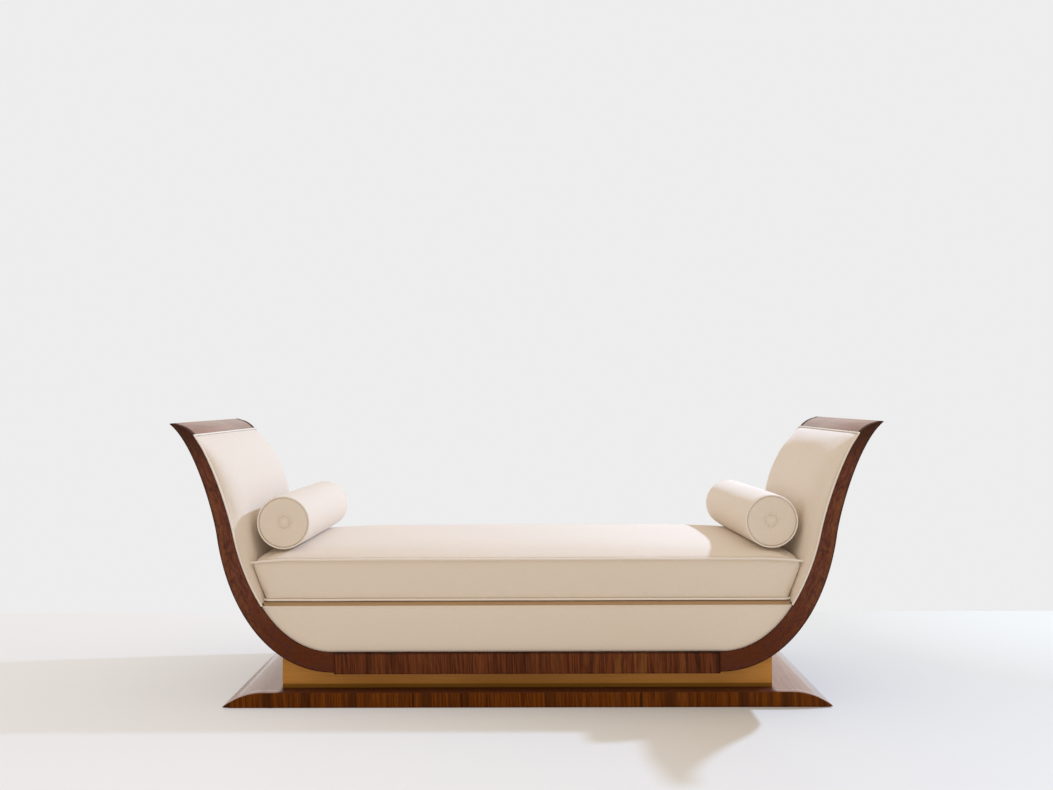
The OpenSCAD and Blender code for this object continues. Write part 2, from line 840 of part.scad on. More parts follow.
// Outline between two levels of the hull, out to the battens
function level_q(z) = crossing(function(q) on_chord(q, web_sink)[1] - z, 1, 2);
module seat_long_rails() {
    high_q = level_q(seat_rail_z);
    low_q = level_q(seat_rail_z - seat_rail_h);
    side = [for (q = between(high_q, low_q)) on_chord(q, web_sink)];
    color(carcass)
    for (face = [-1, 1]) {
        on_face(face)
        across(-inner_y, -batten_y)
        polygon(concat(side, [for (p = reversed(side)) [-p[0], p[1]]]));
    }
}

seat_end_x = on_chord(level_q(seat_rail_z), web_sink)[0] - end_rail_inset;
module seat_end_rails() {
    low_q = level_q(seat_rail_z - end_rail_h);
    x = on_chord(low_q, web_sink)[0];
    color(carcass)
    for (hand = [-1, 1]) {
        on_side(hand)
        block(x - seat_rail_t, x, -batten_y, batten_y, seat_rail_z - end_rail_h, seat_rail_z);
    }
}

// Woven straps over the seat rails
module seat_webbing() {
    low_q = level_q(seat_rail_z - end_rail_h);
    end_x = on_chord(low_q, web_sink)[0];
    last_x = end_x - web_w / 2;
    color(jute)
    union() {
        for (i = [0:deck_web_n - 1]) {
            translate([mix(-last_x, last_x, i / (deck_web_n - 1)), 0, 0])
            block(-web_w / 2, web_w / 2, -inner_y, inner_y, seat_rail_z, seat_rail_z + web_t);
        }
        for (i = [0:deck_long_web_n - 1]) {
            translate([0, mix(web_w - batten_y, batten_y - web_w, i / (deck_long_web_n - 1)), 0])
            block(-end_x, end_x, -web_w / 2, web_w / 2, seat_rail_z + web_t, web_top_z);
        }
    }
}

// Padded deck between the arms and the aprons
module seat_deck_pad() {
    x = min(arm_face(pad_end_share, 0)[0], seat_end_x + web_w);
    color(cloth)
    block(-x, x, -inner_y, inner_y, web_top_z, deck_z);
}

// Lower edge of the apron: the band's inner edge, then the top of the straight rail
function inner_edge(q) = on_chord(q, function(p) band_w(p));
apron_q = crossing(function(q) inner_edge(q)[1] - apron_z, 1, 2);
apron_low_q = crossing(function(q) inner_edge(q)[1] - apron_z + apron_end_h, 1, 2);
module apron_boards() {
    side = [for (q = between(apron_q, 2)) if (inner_edge(q)[1] > rail_top_z) inner_edge(q)];
    color(carcass)
    for (face = [-1, 1]) {
        on_face(face)
        across(-inner_y - apron_board_t, -inner_y)
        polygon(concat(
            side,
            [[foot_x, rail_top_z], [-foot_x, rail_top_z]],
            [for (p = reversed(side)) [-p[0], p[1]]]
        ));
    }
}

// Padding of the apron: a low crown in a boat-shaped outline
apron_side = [for (q = between(apron_low_q, 2)) if (inner_edge(q)[1] > rail_top_z + over) inner_edge(q)];
apron_feet = concat(
    [for (p = apron_side) [-p[0], p[1]]],
    [for (i = [0:apron_mid_columns]) [mix(-foot_x, foot_x, i / apron_mid_columns), rail_top_z]],
    reversed(apron_side)
);
module apron_pad(face) {
    back = inner_y + apron_board_t;
    end_x = apron_side[0][0];
    front = [
        for (p = apron_feet) [
            for (j = [0:apron_rows])
            let (s = j / apron_rows)
            let (crown = apron_crown * dome(2 * s - 1, crown_power) * dome(p[0] / end_x, cushion_end_power))
            [p[0], -back - apron_pad_t - crown, mix(p[1], apron_z, s)]
        ]
    ];
    behind = [for (row = front) [for (p = row) [p[0], -back, p[2]]]];
    color(cloth)
    on_face(face)
    pillow(front, [], behind);
}
module front_apron_pad() apron_pad(-1);
module back_apron_pad() apron_pad(1);

// Point of a plan with rounded corners, from its place in the square plan
function round_in(x, y, half_x, half_y, r) =
    let (u = (abs(x) - (half_x - r)) / r, v = (abs(y) - (half_y - r)) / r)
    u <= 0 || v <= 0 ? [x, y] : [
        sign(x) * (half_x - r + r * u * sqrt(1 - v * v / 2)),
        sign(y) * (half_y - r + r * v * sqrt(1 - u * u / 2))
    ];

// Stops along and across the cushion's plan: its corners, the troughs under the bolsters, and the middle
cushion_flat_x = cushion_top_x - cushion_corner_r;
cushion_flat_y = cushion_y - cushion_corner_r;
under_bolster = [for (s = trough_shares) bolster_x + s * bolster_r];
corner_stops = [for (i = [0:corner_steps]) cushion_corner_r * i / corner_steps];
trough_stops = [for (x = under_bolster) if (x < cushion_flat_x - welt_d) x];
cushion_xs = concat(
    [for (c = reversed(corner_stops)) -cushion_flat_x - c],
    [for (x = reversed(trough_stops)) -x],
    [for (s = cushion_mid_shares) s * trough_stops[0]],
    trough_stops,
    [for (c = corner_stops) cushion_flat_x + c]
);
cushion_ys = concat(
    [for (c = reversed(corner_stops)) -cushion_flat_y - c],
    [for (s = cushion_row_shares) s * cushion_flat_y],
    [for (c = corner_stops) cushion_flat_y + c]
);

// Plan of the cushion at one level, of a given half length, drawn in all round by a given amount
function drawn_stop(x, flat, half, draw) = abs(x) <= flat
    ? x * (half - cushion_corner_r) / flat
    : sign(x) * (half - cushion_corner_r + (abs(x) - flat) * (1 - draw / cushion_corner_r));
function cushion_point(x, y, half_x, draw, z) =
    let (
        px = drawn_stop(x, cushion_flat_x, half_x, draw),
        py = drawn_stop(y, cushion_flat_y, cushion_y, draw),
        p = round_in(px, py, half_x - draw, cushion_y - draw, cushion_corner_r - draw)
    )
    [p[0], p[1], z];
function cushion_grid(half_x, draw, z) =
    [for (x = cushion_xs) [for (y = cushion_ys) cushion_point(x, y, half_x, draw, z)]];
function grid_rim(grid) =
    let (cells = flat(grid), loop = rim(len(grid), len(grid[0]), 0))
    [for (i = loop) cells[i]];
function cushion_ring(half_x, draw, z) = grid_rim(cushion_grid(half_x, draw, z));

// Foam block inside the cushion
foam_x = cushion_low_x - wadding_t;
foam_y = cushion_y - wadding_t;
module foam_block(room) {
    block(
        -foam_x - room, foam_x + room, -foam_y - room, foam_y + room,
        cushion_z + foam_inset - room, top_welt_z - foam_inset + room
    );
}
module cushion_foam() {
    color(foam)
    foam_block(0);
}

// Crowned cover with drawn-in seams, notches for the welts and a trough under each bolster
module cushion_cover() {
    top = [
        for (row = cushion_grid(cushion_top_x, 0, 0)) [
            for (p = row) [p[0], p[1], cushion_top_at(p[0], p[1])]
        ]
    ];
    middle_z = (low_welt_z + top_welt_z) / 2;
    rings = [
        cushion_ring(cushion_top_x, notch, top_welt_z),
        cushion_ring(cushion_top_x, 0, top_welt_z - notch),
        cushion_ring((cushion_low_x + cushion_top_x) / 2, -boxing_bow, middle_z),
        cushion_ring(cushion_low_x, 0, low_welt_z + notch),
        cushion_ring(cushion_low_x, notch, low_welt_z),
        cushion_ring(cushion_low_x, welt_out, low_welt_z - notch)
    ];
    color(cloth)
    difference() {
        pillow(top, rings, cushion_grid(cushion_low_x, cushion_tuck, cushion_z));
        foam_block(fit_gap);
    }
}

// Welt around the cushion at one seam
module welt_loop(half_x, z) {
    x = half_x - cushion_corner_r;
    y = cushion_flat_y;
    r = cushion_corner_r + welt_out;
    translate([0, 0, z])
    union() {
        for (hand = [-1, 1]) {
            translate([0, hand * (y + r), 0])
            rotate([0, 90, 0])
            cylinder(h = 2 * x, d = welt_d, center = true, $fn = bore_fn);
            translate([hand * (x + r), 0, 0])
            rotate([90, 0, 0])
            cylinder(h = 2 * y, d = welt_d, center = true, $fn = bore_fn);
        }
        for (turn = [0:90:270]) {
            translate([turn == 0 || turn == 270 ? x : -x, turn < 180 ? y : -y, 0])
            rotate([0, 0, turn])
            rotate_extrude(angle = 90, $fn = turned_fn)
            translate([r, 0])
            circle(d = welt_d, $fn = bore_fn);
        }
    }
}
module cushion_welts() {
    color(cloth) {
        welt_loop(cushion_top_x, top_welt_z);
        welt_loop(cushion_low_x, low_welt_z);
    }
}

// Places a bolster's pieces, made about their own axis
module as_bolster(hand) {
    translate([hand * bolster_x, 0, bolster_z])
    rotate([0, 0, hand * bolster_turn(hand)])
    rotate([90, 0, 0])
    children();
}

// Half of a bolster's section: dished end, corner cut for the welt, and a body drawn in at its ends
rim_cut = welt_d * (1 + welt_gap) / 2 + welt_r / 4;
rim_r = bolster_r - bolster_end_draw;
seat_r = button_d / 2 + over;
seat_z = bolster_half - dish;
half_section = concat(
    [[0, seat_z]],
    [
        for (i = [0:end_steps])
        [mix(seat_r, rim_r - rim_cut, i / end_steps), bolster_half - dish * pow(1 - i / end_steps, 2)]
    ],
    [[rim_r - rim_cut, bolster_half - rim_cut], [rim_r, bolster_half - rim_cut]],
    [
        for (i = [body_steps - 1:-1:1])
        let (s = i / body_steps)
        [bolster_r - bolster_end_draw * pow(s, crown_power), (bolster_half - rim_cut) * s]
    ],
    [[bolster_r, 0]]
);
core_r = bolster_r - core_wadding_t;
core_half = seat_z - core_wadding_t;

module twine_bore(half) {
    cylinder(h = 2 * (half + over), d = twine_d + 2 * fit_gap, center = true, $fn = bore_fn);
}
module bolster_core(hand) {
    color(foam)
    as_bolster(hand)
    difference() {
        cylinder(h = 2 * core_half, r = core_r, center = true, $fn = turned_fn);
        twine_bore(core_half);
    }
}
module bolster_cover(hand) {
    color(cloth)
    as_bolster(hand)
    difference() {
        rotate_extrude($fn = turned_fn)
        polygon(concat(half_section, [for (p = reversed(half_section)) if (p[1] > 0) [p[0], -p[1]]]));
        cylinder(h = 2 * (core_half + fit_gap), r = core_r + fit_gap, center = true, $fn = turned_fn);
        twine_bore(seat_z);
    }
}
module bolster_welts(hand) {
    seat = rim_cut - welt_r - welt_gap;
    color(cloth)
    as_bolster(hand)
    for (end = [-1, 1]) {
        translate([0, 0, end * (bolster_half - seat)])
        rotate_extrude($fn = turned_fn)
        translate([rim_r - seat, 0])
        circle(d = welt_d, $fn = bore_fn);
    }
}

// Covered button with a domed face
module bolster_buttons(hand) {
    color(cloth)
    as_bolster(hand)
    for (end = [0, 1]) {
        mirror([0, 0, end])
        translate([0, 0, seat_z])
        rotate_extrude($fn = turned_fn)
        polygon(concat(
            [[0, 0], [button_d / 2 - button_t / 4, 0]],
            [
                for (i = [0:6])
                let (a = 90 * i / 6)
                [button_d / 2 * cos(a), button_t / 3 + button_t * 2 / 3 * sin(a)]
            ]
        ));
    }
}
module bolster_twine(hand) {
    color(jute)
    as_bolster(hand)
    cylinder(h = 2 * seat_z, d = twine_d, center = true, $fn = bore_fn);
}

module left_bolster_core() bolster_core(-1);
module left_bolster_cover() bolster_cover(-1);
module left_bolster_welts() bolster_welts(-1);
module left_bolster_buttons() bolster_buttons(-1);
module left_bolster_twine() bolster_twine(-1);
module right_bolster_core() bolster_core(1);
module right_bolster_cover() bolster_cover(1);
module right_bolster_welts() bolster_welts(1);
module right_bolster_buttons() bolster_buttons(1);
module right_bolster_twine() bolster_twine(1);

base_front_rail();
base_back_rail();
base_left_end();
base_right_end();
base_top_panel();
base_ribs();
base_bolts();
floor_glides();
pedestal_front_panel();
pedestal_back_panel();
pedestal_left_panel();
pedestal_right_panel();
pedestal_corner_blocks();
pedestal_webs();
pedestal_ledgers();
front_left_sickle();
front_right_sickle();
back_left_sickle();
back_right_sickle();
front_center_rail();
back_center_rail();
sickle_dowels();
left_cap();
right_cap();
left_outer_skin();
right_outer_skin();
bottom_panel();
hull_bulkheads();
hull_bolts();
left_arm_battens();
right_arm_battens();
left_arm_stretchers();
right_arm_stretchers();
left_arm_webbing();
right_arm_webbing();
left_arm_pad();
right_arm_pad();
left_arm_welt();
right_arm_welt();
seat_long_rails();
seat_end_rails();
seat_webbing();
seat_deck_pad();
apron_boards();
front_apron_pad();
back_apron_pad();
cushion_foam();
cushion_cover();
cushion_welts();
left_bolster_core();
left_bolster_cover();
left_bolster_welts();
left_bolster_buttons();
left_bolster_twine();
right_bolster_core();
right_bolster_cover();
right_bolster_welts();
right_bolster_buttons();
right_bolster_twine();
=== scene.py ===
from math import cos, dist, exp, pi, radians, sin

import bmesh
import bpy
import numpy as np
from mathutils import Matrix, Vector, noise


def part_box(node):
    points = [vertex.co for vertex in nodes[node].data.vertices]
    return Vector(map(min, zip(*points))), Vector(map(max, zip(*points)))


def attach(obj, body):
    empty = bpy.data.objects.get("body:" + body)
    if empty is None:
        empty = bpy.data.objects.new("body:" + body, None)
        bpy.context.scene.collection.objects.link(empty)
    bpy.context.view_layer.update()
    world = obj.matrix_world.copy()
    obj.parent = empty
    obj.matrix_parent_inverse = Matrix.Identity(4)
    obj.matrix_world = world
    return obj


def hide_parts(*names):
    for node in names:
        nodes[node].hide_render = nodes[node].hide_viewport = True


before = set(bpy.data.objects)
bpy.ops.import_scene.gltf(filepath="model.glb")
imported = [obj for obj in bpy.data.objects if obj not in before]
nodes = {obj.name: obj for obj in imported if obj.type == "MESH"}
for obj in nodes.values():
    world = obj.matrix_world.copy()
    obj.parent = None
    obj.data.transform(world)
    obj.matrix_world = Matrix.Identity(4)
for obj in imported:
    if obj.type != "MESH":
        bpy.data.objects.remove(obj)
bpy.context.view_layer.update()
scene = bpy.context.scene
hands = {"left": -1, "right": 1}


def mix(a, b, share):
    return a + (b - a) * share


def smooth(low, high, value):
    t = np.clip((np.asarray(value, float) - low) / (high - low), 0, 1)
    return t * t * (3 - 2 * t)


# what lies at both long faces, with its two depths from front to back
def bothFaces(outer, inner):
    return ("front", -outer, -inner), ("back", inner, outer)


def inScene(name, data):
    thing = bpy.data.objects.new(name, data)
    scene.collection.objects.link(thing)
    return thing


# the photograph's camera, angles in degrees
view = {"place": (.0143, -3.3712, .9171), "yaw": .244, "pitch": .098, "roll": -.208, "lens": 35.083}


def setCamera():
    turns = ((view["yaw"], "Z"), (90 + view["pitch"], "X"), (view["roll"], "Z"))
    yaw, pitch, roll = (Matrix.Rotation(radians(angle), 4, axis) for angle, axis in turns)
    camera = inScene("camera", bpy.data.cameras.new("camera"))
    camera.matrix_world = Matrix.Translation(view["place"]) @ yaw @ pitch @ roll
    camera.data.lens = view["lens"]
    scene.camera = camera


setCamera()
scene.view_settings.view_transform = "Standard"
print("camera set")


# one output of a node; sums of wires are written as Python sums
class Wire:
    def __init__(self, web, node, key=0):
        self.web, self.node, self.socket = web, node, node.outputs[key]

    def __getitem__(self, key):
        return Wire(self.web, self.node, key)

    def join(self, operation, *values):
        return self.web.add("Math", dict(enumerate(values)), operation=operation)

    def __add__(self, other): return self.join("ADD", self, other)
    def __sub__(self, other): return self.join("SUBTRACT", self, other)
    def __rsub__(self, other): return self.join("SUBTRACT", other, self)
    def __mul__(self, other): return self.join("MULTIPLY", self, other)
    def __truediv__(self, other): return self.join("DIVIDE", self, other)
    def __pow__(self, other): return self.join("POWER", self, other)
    def __abs__(self): return self.join("ABSOLUTE", self)
    __radd__ = __add__
    __rmul__ = __mul__

    def sine(self):
        return self.join("SINE", self)

    def floor(self):
        return self.join("FLOOR", self)

    # goes smoothly from start to end while the value goes from low to high
    def between(self, low, high, start=0.0, end=1.0):
        return self.web.add("MapRange", {0: self, 1: low, 2: high, 3: start, 4: end},
                            interpolation_type="SMOOTHSTEP")


# a node tree that is filled from code; a kind of node may be given without its prefix
class Web:
    def __init__(self, tree, prefix="ShaderNode"):
        self.tree, self.prefix = tree, prefix
        tree.nodes.clear()

    # a node gets its settings first, then the values or links of its sockets
    def add(self, kind, values=None, **settings):
        node = self.tree.nodes.new(kind if "Node" in kind else self.prefix + kind)
        for key, value in settings.items():
            if key == "stops":
                ramp = node.color_ramp
                while len(ramp.elements) < len(value):
                    ramp.elements.new(.5)
                for element, (place, colour) in zip(ramp.elements, value):
                    element.position, element.color = place, colour
            else:
                setattr(node, key, value)
        for key, value in (values or {}).items():
            if isinstance(value, Wire):
                self.tree.links.new(value.socket, node.inputs[key])
            else:
                node.inputs[key].default_value = value
        return Wire(self, node) if node.outputs else None


# one material
class Finish(Web):
    def __init__(self, name, tones=None):
        self.tones = tones
        self.material = bpy.data.materials.new(name)
        self.material.use_nodes = True
        super().__init__(self.material.node_tree)

    # a place and its three parts
    def axes(self, source="object"):
        if source == "object":
            place = self.add("TexCoord")["Object"]
        elif source == "cloth":
            place = self.add("UVMap", uv_map=source)
        else:
            place = self.add("Attribute", attribute_name=source)["Vector"]
        return place, *self.add("SeparateXYZ", {0: place})

    def noise(self, place, scale=1.0, detail=2.0, roughness=.5, warp=0.0):
        return self.add("TexNoise", {"Vector": place, "Scale": scale, "Detail": detail,
                                     "Roughness": roughness, "Distortion": warp})

    # noise with its own scale on each axis
    def grain(self, x, y, z, detail=2.0, roughness=.5, warp=0.0):
        place = self.add("CombineXYZ", {0: x, 1: y, 2: z})
        return self.noise(place, 1, detail, roughness, warp)

    def chance(self, value, seed):
        return self.add("TexWhiteNoise", {"W": value + seed}, noise_dimensions="1D")["Value"]

    def named(self, tone):
        return self.tones[tone] if isinstance(tone, str) else tone

    # a tone with others laid over it, each by its share; tones may be given by name
    def layers(self, tone, *coats):
        tone = self.named(tone)
        for share, over in coats:
            tone = self.add("Mix", {0: share, 6: tone, 7: self.named(over)}, data_type="RGBA")[2]
        return tone

    # the whole surface, with the height, distance and strength of its bump
    def close(self, tone, roughness, height, distance, strength=1.0, **others):
        normal = self.add("Bump", {"Strength": strength, "Distance": distance, "Height": height})
        values = {"Base Color": tone, "Roughness": roughness, "Normal": normal}
        values.update((key.replace("_", " "), value) for key, value in others.items())
        self.add("OutputMaterial", {"Surface": self.add("BsdfPrincipled", values)})
        return self.material


def ink(red, green, blue):
    return red, green, blue, 1.0


# woods
rosewood = {"dark": ink(.012, .0034, .0018), "brown": ink(.088, .022, .0068), "red": ink(.135, .037, .0125),
            "amber": ink(.235, .085, .022), "purple": ink(.088, .031, .026), "mid": ink(.168, .057, .033),
            "waist": ink(.118, .029, .0085), "tip": ink(.042, .017, .0095), "rose": ink(.29, .115, .07),
            "shade": ink(.060, .006, .0008), "rail": ink(.17, .046, .0145),
            "plinth": (ink(.185, .048, .0012), ink(.095, .021, .0008))}

# upright veneer, in metres: its arched figure, its seams and the painted shade line along the top and
# bottom edges
veneer = {"arch": .117, "archShift": .04, "archHalf": (.019, .011), "archBend": 40, "rings": 1050,
          "seam": (.0055, .0015), "edge": (.004, .0015), "warmFrom": (.02, .2), "warmTo": (.52, .42)}


# for the straight rails and the plinth
def uprightFinish(name, first, second, amber, seam=0.0, arches=0.0, low=None, high=None):
    finish, v = Finish(name, rosewood), veneer
    x, y, z = finish.axes()[1:]
    slow = finish.grain(x * 9, y * 9, z * 5)
    lean = x + z * .04 + slow * .006
    hair = finish.grain(lean * 250, y * 60, z * 5, 2, .55)
    fibre = finish.grain(lean * 1100, y * 300, z * 26, 2, .6)
    broad = finish.grain(lean * 46, y * 9, z * 3)
    cloud = finish.grain(x * 30, y * 6, z * 4, 3, .6, .3)
    vein = finish.grain((x + z * .18) * 60 + slow * 3, y * 20, z * 4)
    zone = x.between(*v["warmFrom"]) * x.between(*v["warmTo"]) * .75 + .25
    tone = finish.layers(first, (hair.between(.4, .6), second),
                         (cloud.between(.48, .64) * zone * amber, "amber"))
    if arches:
        number = (x / v["arch"]).floor()
        heart = x - (number + .5) * v["arch"] + (finish.chance(number, 5.1) - .5) * v["archShift"]
        rings = ((z + heart * heart * v["archBend"]) * v["rings"]).sine() * .5 + .5
        here = abs(heart).between(*v["archHalf"]) * finish.chance(number, 9.3).between(.45, .5)
        tone = finish.layers(tone, (rings * here * arches, "dark"))
    dark = broad.between(.60, .70) * .6 + vein.between(.61, .69) * .45
    if seam:
        dark = dark + abs(abs(x) - seam).between(*v["seam"]) * .7
    # painted shade: dark lines along the top and bottom edges, at the gaps to the apron and the pedestal
    if high:
        dark = dark + z.between(*(high - edge for edge in v["edge"])) * .55
        dark = dark + z.between(*(low + edge for edge in v["edge"])) * .4
    tone = finish.layers(tone, (dark.between(0, 1) * .8, "dark"),
                         (fibre.between(.46, .68) * .5, "dark"))
    return finish.close(tone, .5 + fibre * .1, fibre * .6 + hair * .4, .00005, .5, Specular_IOR_Level=.06)


# mottled figure along the S, darker toward the tips; its grain holds length, way inwards and depth
def bandFinish(name, across=1, edge=True, coat=0.0, specular=.06):
    finish = Finish(name, rosewood)
    axes = finish.axes("grain")[1:]
    length, n, depth = axes[0], axes[across], axes[3 - across]
    slow = finish.grain(length * 7, n * 16, depth * 7)
    bent = n + slow * .02
    streak = finish.grain(length * 36, bent * 170, depth * 40, 3, .65, .4)
    fleck = finish.grain(length * 55, bent * 600, depth * 240, 2, .7)
    patch = finish.grain(length * 34, bent * 75, depth * 8, 4, .65, .6)
    tone = finish.layers("mid", (length.between(.48, .80), "waist"),
                         (patch.between(.47, .62) * .75, "purple"),
                         (streak.between(.42, .62) * .5, "brown"),
                         (streak.between(.46, .36) * length.between(.75, .5) * .3, "amber"),
                         (length.between(.20, .04) * .75, "tip"))
    dark = fleck.between(.5, .7) * .55
    if edge:
        light = n.between(.004, .010) * n.between(.024, .014) * length.between(.15, .3)
        light = light * length.between(.8, .6)
        tone = finish.layers(tone, (light * patch.between(.62, .45) * .4, "amber"))
        # painted shade: a thin dark line along the outer arris
        dark = dark + n.between(.0034, .0016) * .7
    tone = finish.layers(tone, (dark.between(0, 1), "dark"))
    return finish.close(tone, .46 + fleck * .1, fleck, .00005, .5, Specular_IOR_Level=specular,
                        Coat_Weight=coat, Coat_Roughness=.14)


# smooth polished wood with a faint figure on a pale rose ground, partly the wood's tone and partly painted
# reflection of the pale room; on the plinth, the strip before the pedestal gets painted shade of the
# pedestal and less coat
def polishedFinish(name, source, order, coatRoughness, ior, specular=.5, shaded=None):
    finish = Finish(name, rosewood)
    axes = finish.axes(source)[1:]
    along, across, depth = (axes[i] for i in order)
    slow = finish.grain(along * 3, across * 9, depth * 4)
    streak = finish.grain(along * 6, across * 90 + slow * 6, depth * 20, 3, .55)
    fibre = finish.grain(along * 40, across * 900, depth * 200, 2, .6)
    tone = finish.layers("rose", (streak.between(.4, .66) * .45, "red"),
                         (fibre.between(.5, .75) * .2, "brown"))
    coat = 1.0
    if shaded:
        # painted shade: the strip before the pedestal is drawn toward a near-black red
        strip = abs(axes[0]).between(*shaded)
        tone = finish.layers(tone, (strip * .85, "shade"))
        coat = 1 - strip * .9
    return finish.close(tone, .32 + streak * .08, fibre, .00003, .3, Specular_IOR_Level=specular,
                        Coat_Weight=coat, Coat_Roughness=coatRoughness, Coat_IOR=ior)


curvedBand = bandFinish("rosewoodCurvedBand")
skinWood = bandFinish("rosewoodSkin", 2, False, .5, .3)
capWood = polishedFinish("rosewoodCap", "grain", (2, 0, 1), .26, 1.6)
plinthTop = polishedFinish("rosewoodPlinthTop", "object", (1, 0, 2), .05, 1.95, .1, (.742, .728))

honey = {"pale": ink(.66, .30, .062), "body": ink(.55, .235, .042), "brown": ink(.32, .13, .022),
         "olive": ink(.22, .10, .008), "foot": (.060, .056)}


def honeyFinish():
    finish = Finish("honeyVeneer", honey)
    x, y, z = finish.axes()[1:]
    broad = finish.grain(x * 3.2, y * 3.2, z * 5)
    grain = finish.grain(x * 9, y * 9, z * 260, 3, .6, .3)
    pores = finish.grain(x * 60, y * 60, z * 1100, 2, .6)
    # painted shade: the veneer goes browner toward the middle, under the hull, and olive at the foot
    tone = finish.layers("body", ((broad * .6 + grain * .45).between(.4, .66), "pale"),
                         (abs(x).between(.42, .05) * .4, "brown"),
                         (pores.between(.54, .8) * .3, "brown"),
                         (z.between(*honey["foot"]) * .85, "olive"))
    return finish.close(tone, .42 + grain * .1, grain * .5 + pores, .00005, .6, Coat_Weight=.08,
                        Coat_Roughness=.15, Specular_IOR_Level=.12)


def carcassFinish():
    finish = Finish("carcassWood")
    place, x, y, z = finish.axes()
    slow = finish.noise(place, 3)
    grain = finish.grain(x * 7, y * 120, z * 120, 3, .6, .4)
    rings = ((y + z) * 210 + slow * 14 + grain * 3).sine() * .5 + .5
    tone = finish.layers(ink(.56, .40, .23), (rings * .45, ink(.42, .27, .13)),
                         (grain.between(.5, .75) * .4, ink(.34, .2, .09)))
    return finish.close(tone, .62 + grain * .12, grain, .0002, .5)


def steelFinish():
    finish = Finish("zincSteel")
    place = finish.axes()[0]
    spangle, wear = finish.noise(place, 160, 3, .6), finish.noise(place, 30)
    tone = finish.layers(ink(.48, .49, .5), (spangle, ink(.62, .63, .64)))
    return finish.close(tone, .3 + spangle * .2, spangle, .0001, .3,
                        Metallic=.95 - wear.between(.6, .8) * .2)


def feltFinish():
    finish = Finish("feltPad")
    fuzz = finish.noise(finish.axes()[0], 900, 4, .7)
    tone = finish.layers(ink(.05, .047, .044), (fuzz, ink(.11, .1, .095)))
    return finish.close(tone, .95, fuzz, .0006, Sheen_Weight=.4)


def juteFinish():
    finish = Finish("juteWebbing")
    place, x, y, z = finish.axes()
    warp, weft = ((axis * 2000).sine() * .5 + .5 for axis in (x, y))
    stripe = (y * 252).sine().between(.86, .93)
    tone = finish.layers(ink(.36, .26, .14), (finish.noise(place, 320), ink(.5, .38, .22)),
                         (stripe * .7, ink(.16, .045, .02)), (warp * weft * .4, ink(.2, .13, .06)))
    return finish.close(tone, .9, warp + weft, .0003, .6)


honeyVeneer, carcassWood, zincSteel, feltPad, juteWeb = (
    make() for make in (honeyFinish, carcassFinish, steelFinish, feltFinish, juteFinish))

# plain weave; welts are drawn toward a paler tone as painted highlight, and the deck toward a dark tan as
# painted shade of its recess under the cushion
cream = {"thread": .0011, "pale": ink(.84, .735, .61), "body": ink(.81, .70, .57),
         "shadow": ink(.67, .55, .42), "welt": ink(.97, .92, .85), "deck": ink(.58, .36, .16)}


def clothFinish(name, scale=1.0, share=0, toward=None):
    finish = Finish(name, cream)
    u, v = finish.axes("cloth")[1:3]
    turn = pi / (cream["thread"] * scale)
    wander = finish.grain(u * 60, v * 60, 0) * 1.2
    over = (u * turn + wander).sine() * (v * turn + wander).sine() * .5 + .5
    slubs = finish.grain(u * 40, v * 700, 0, 2, .6)
    crossSlubs = finish.grain(u * 700, v * 40, 3, 2, .6)
    broad = finish.grain(u * 5, v * 5, 7, 3)
    tone = finish.layers("body", ((slubs * .5 + crossSlubs * .5).between(.38, .62), "pale"),
                         (broad.between(.5, .8) * .25, "body"), ((1 - over) * .22, "shadow"))
    if share:
        tone = finish.layers(tone, (share, toward))
    height = over * .55 + slubs * .25 + crossSlubs * .25
    return finish.close(tone, .82, height, .00022, .55, Specular_IOR_Level=.25, Sheen_Weight=.22,
                        Sheen_Roughness=.45)


creamCloth = clothFinish("creamCloth")
# painted highlight on the welts and painted shade on the deck
weltClothPaintedHighlight = clothFinish("creamWeltPaintedHighlight", .8, .38, "welt")
deckClothPaintedShade = clothFinish("deckClothPaintedShade", 1.2, .85, "deck")
print("finishes made")


# the S of the bands, by its outer edge from the tip over the waist to the foot
band = {
    "tip": (1.055, .840), "tipSlope": 38.4, "tipReach": .092,
    "waist": (.916, .507), "lean": 8, "reachUp": .073, "reachDown": .229,
    "foot": (.570, .104), "footReach": .186,
    "tipWidth": .030, "waistWidth": .0455, "footWidth": .0565, "swell": .42,
    "noseLength": .060, "nosePower": .92, "noseEndPower": .62, "noseEnd": .25, "capLength": .054,
    "face": .342, "inner": .314, "skin": .009, "padEnd": 1.39, "weltEnd": 1.39766,
    "tipRun": .1, "gap": .0004, "arris": .0014, "thinArris": .0004,
}


def curves():
    tip, waist, foot = (np.array(band[k]) for k in ("tip", "waist", "foot"))
    slope, lean = radians(band["tipSlope"]), radians(band["lean"])
    up = np.array((sin(lean), cos(lean)))
    out = band["tipReach"] * np.array((cos(slope), sin(slope)))
    arm = [tip, tip - out, waist + band["reachUp"] * up, waist]
    hull = [waist, waist - band["reachDown"] * up, foot + np.array((band["footReach"], 0)), foot]
    return arm, hull


armCurve, hullCurve = curves()
capShare = band["capLength"] / (3 * band["tipReach"])


# points and inward ways of the outer edge, q from 0 at the tip over 1 to 2 at the foot
def bandEdge(q):
    q = np.atleast_1d(np.asarray(q, float))
    places, ways = np.zeros((len(q), 2)), np.zeros((len(q), 2))
    for points, mask, shift in ((armCurve, q <= 1, 0), (hullCurve, q > 1, 1)):
        u = (q[mask] - shift)[:, None]
        a, b, c, d = points
        places[mask] = a * (1 - u)**3 + b * 3 * u * (1 - u)**2 + c * 3 * u * u * (1 - u) + d * u**3
        way = (b - a) * (1 - u)**2 + (c - b) * 2 * u * (1 - u) + (d - c) * u * u
        way /= np.linalg.norm(way, axis=1)[:, None]
        ways[mask] = np.stack((way[:, 1], -way[:, 0]), 1)
    return places, ways


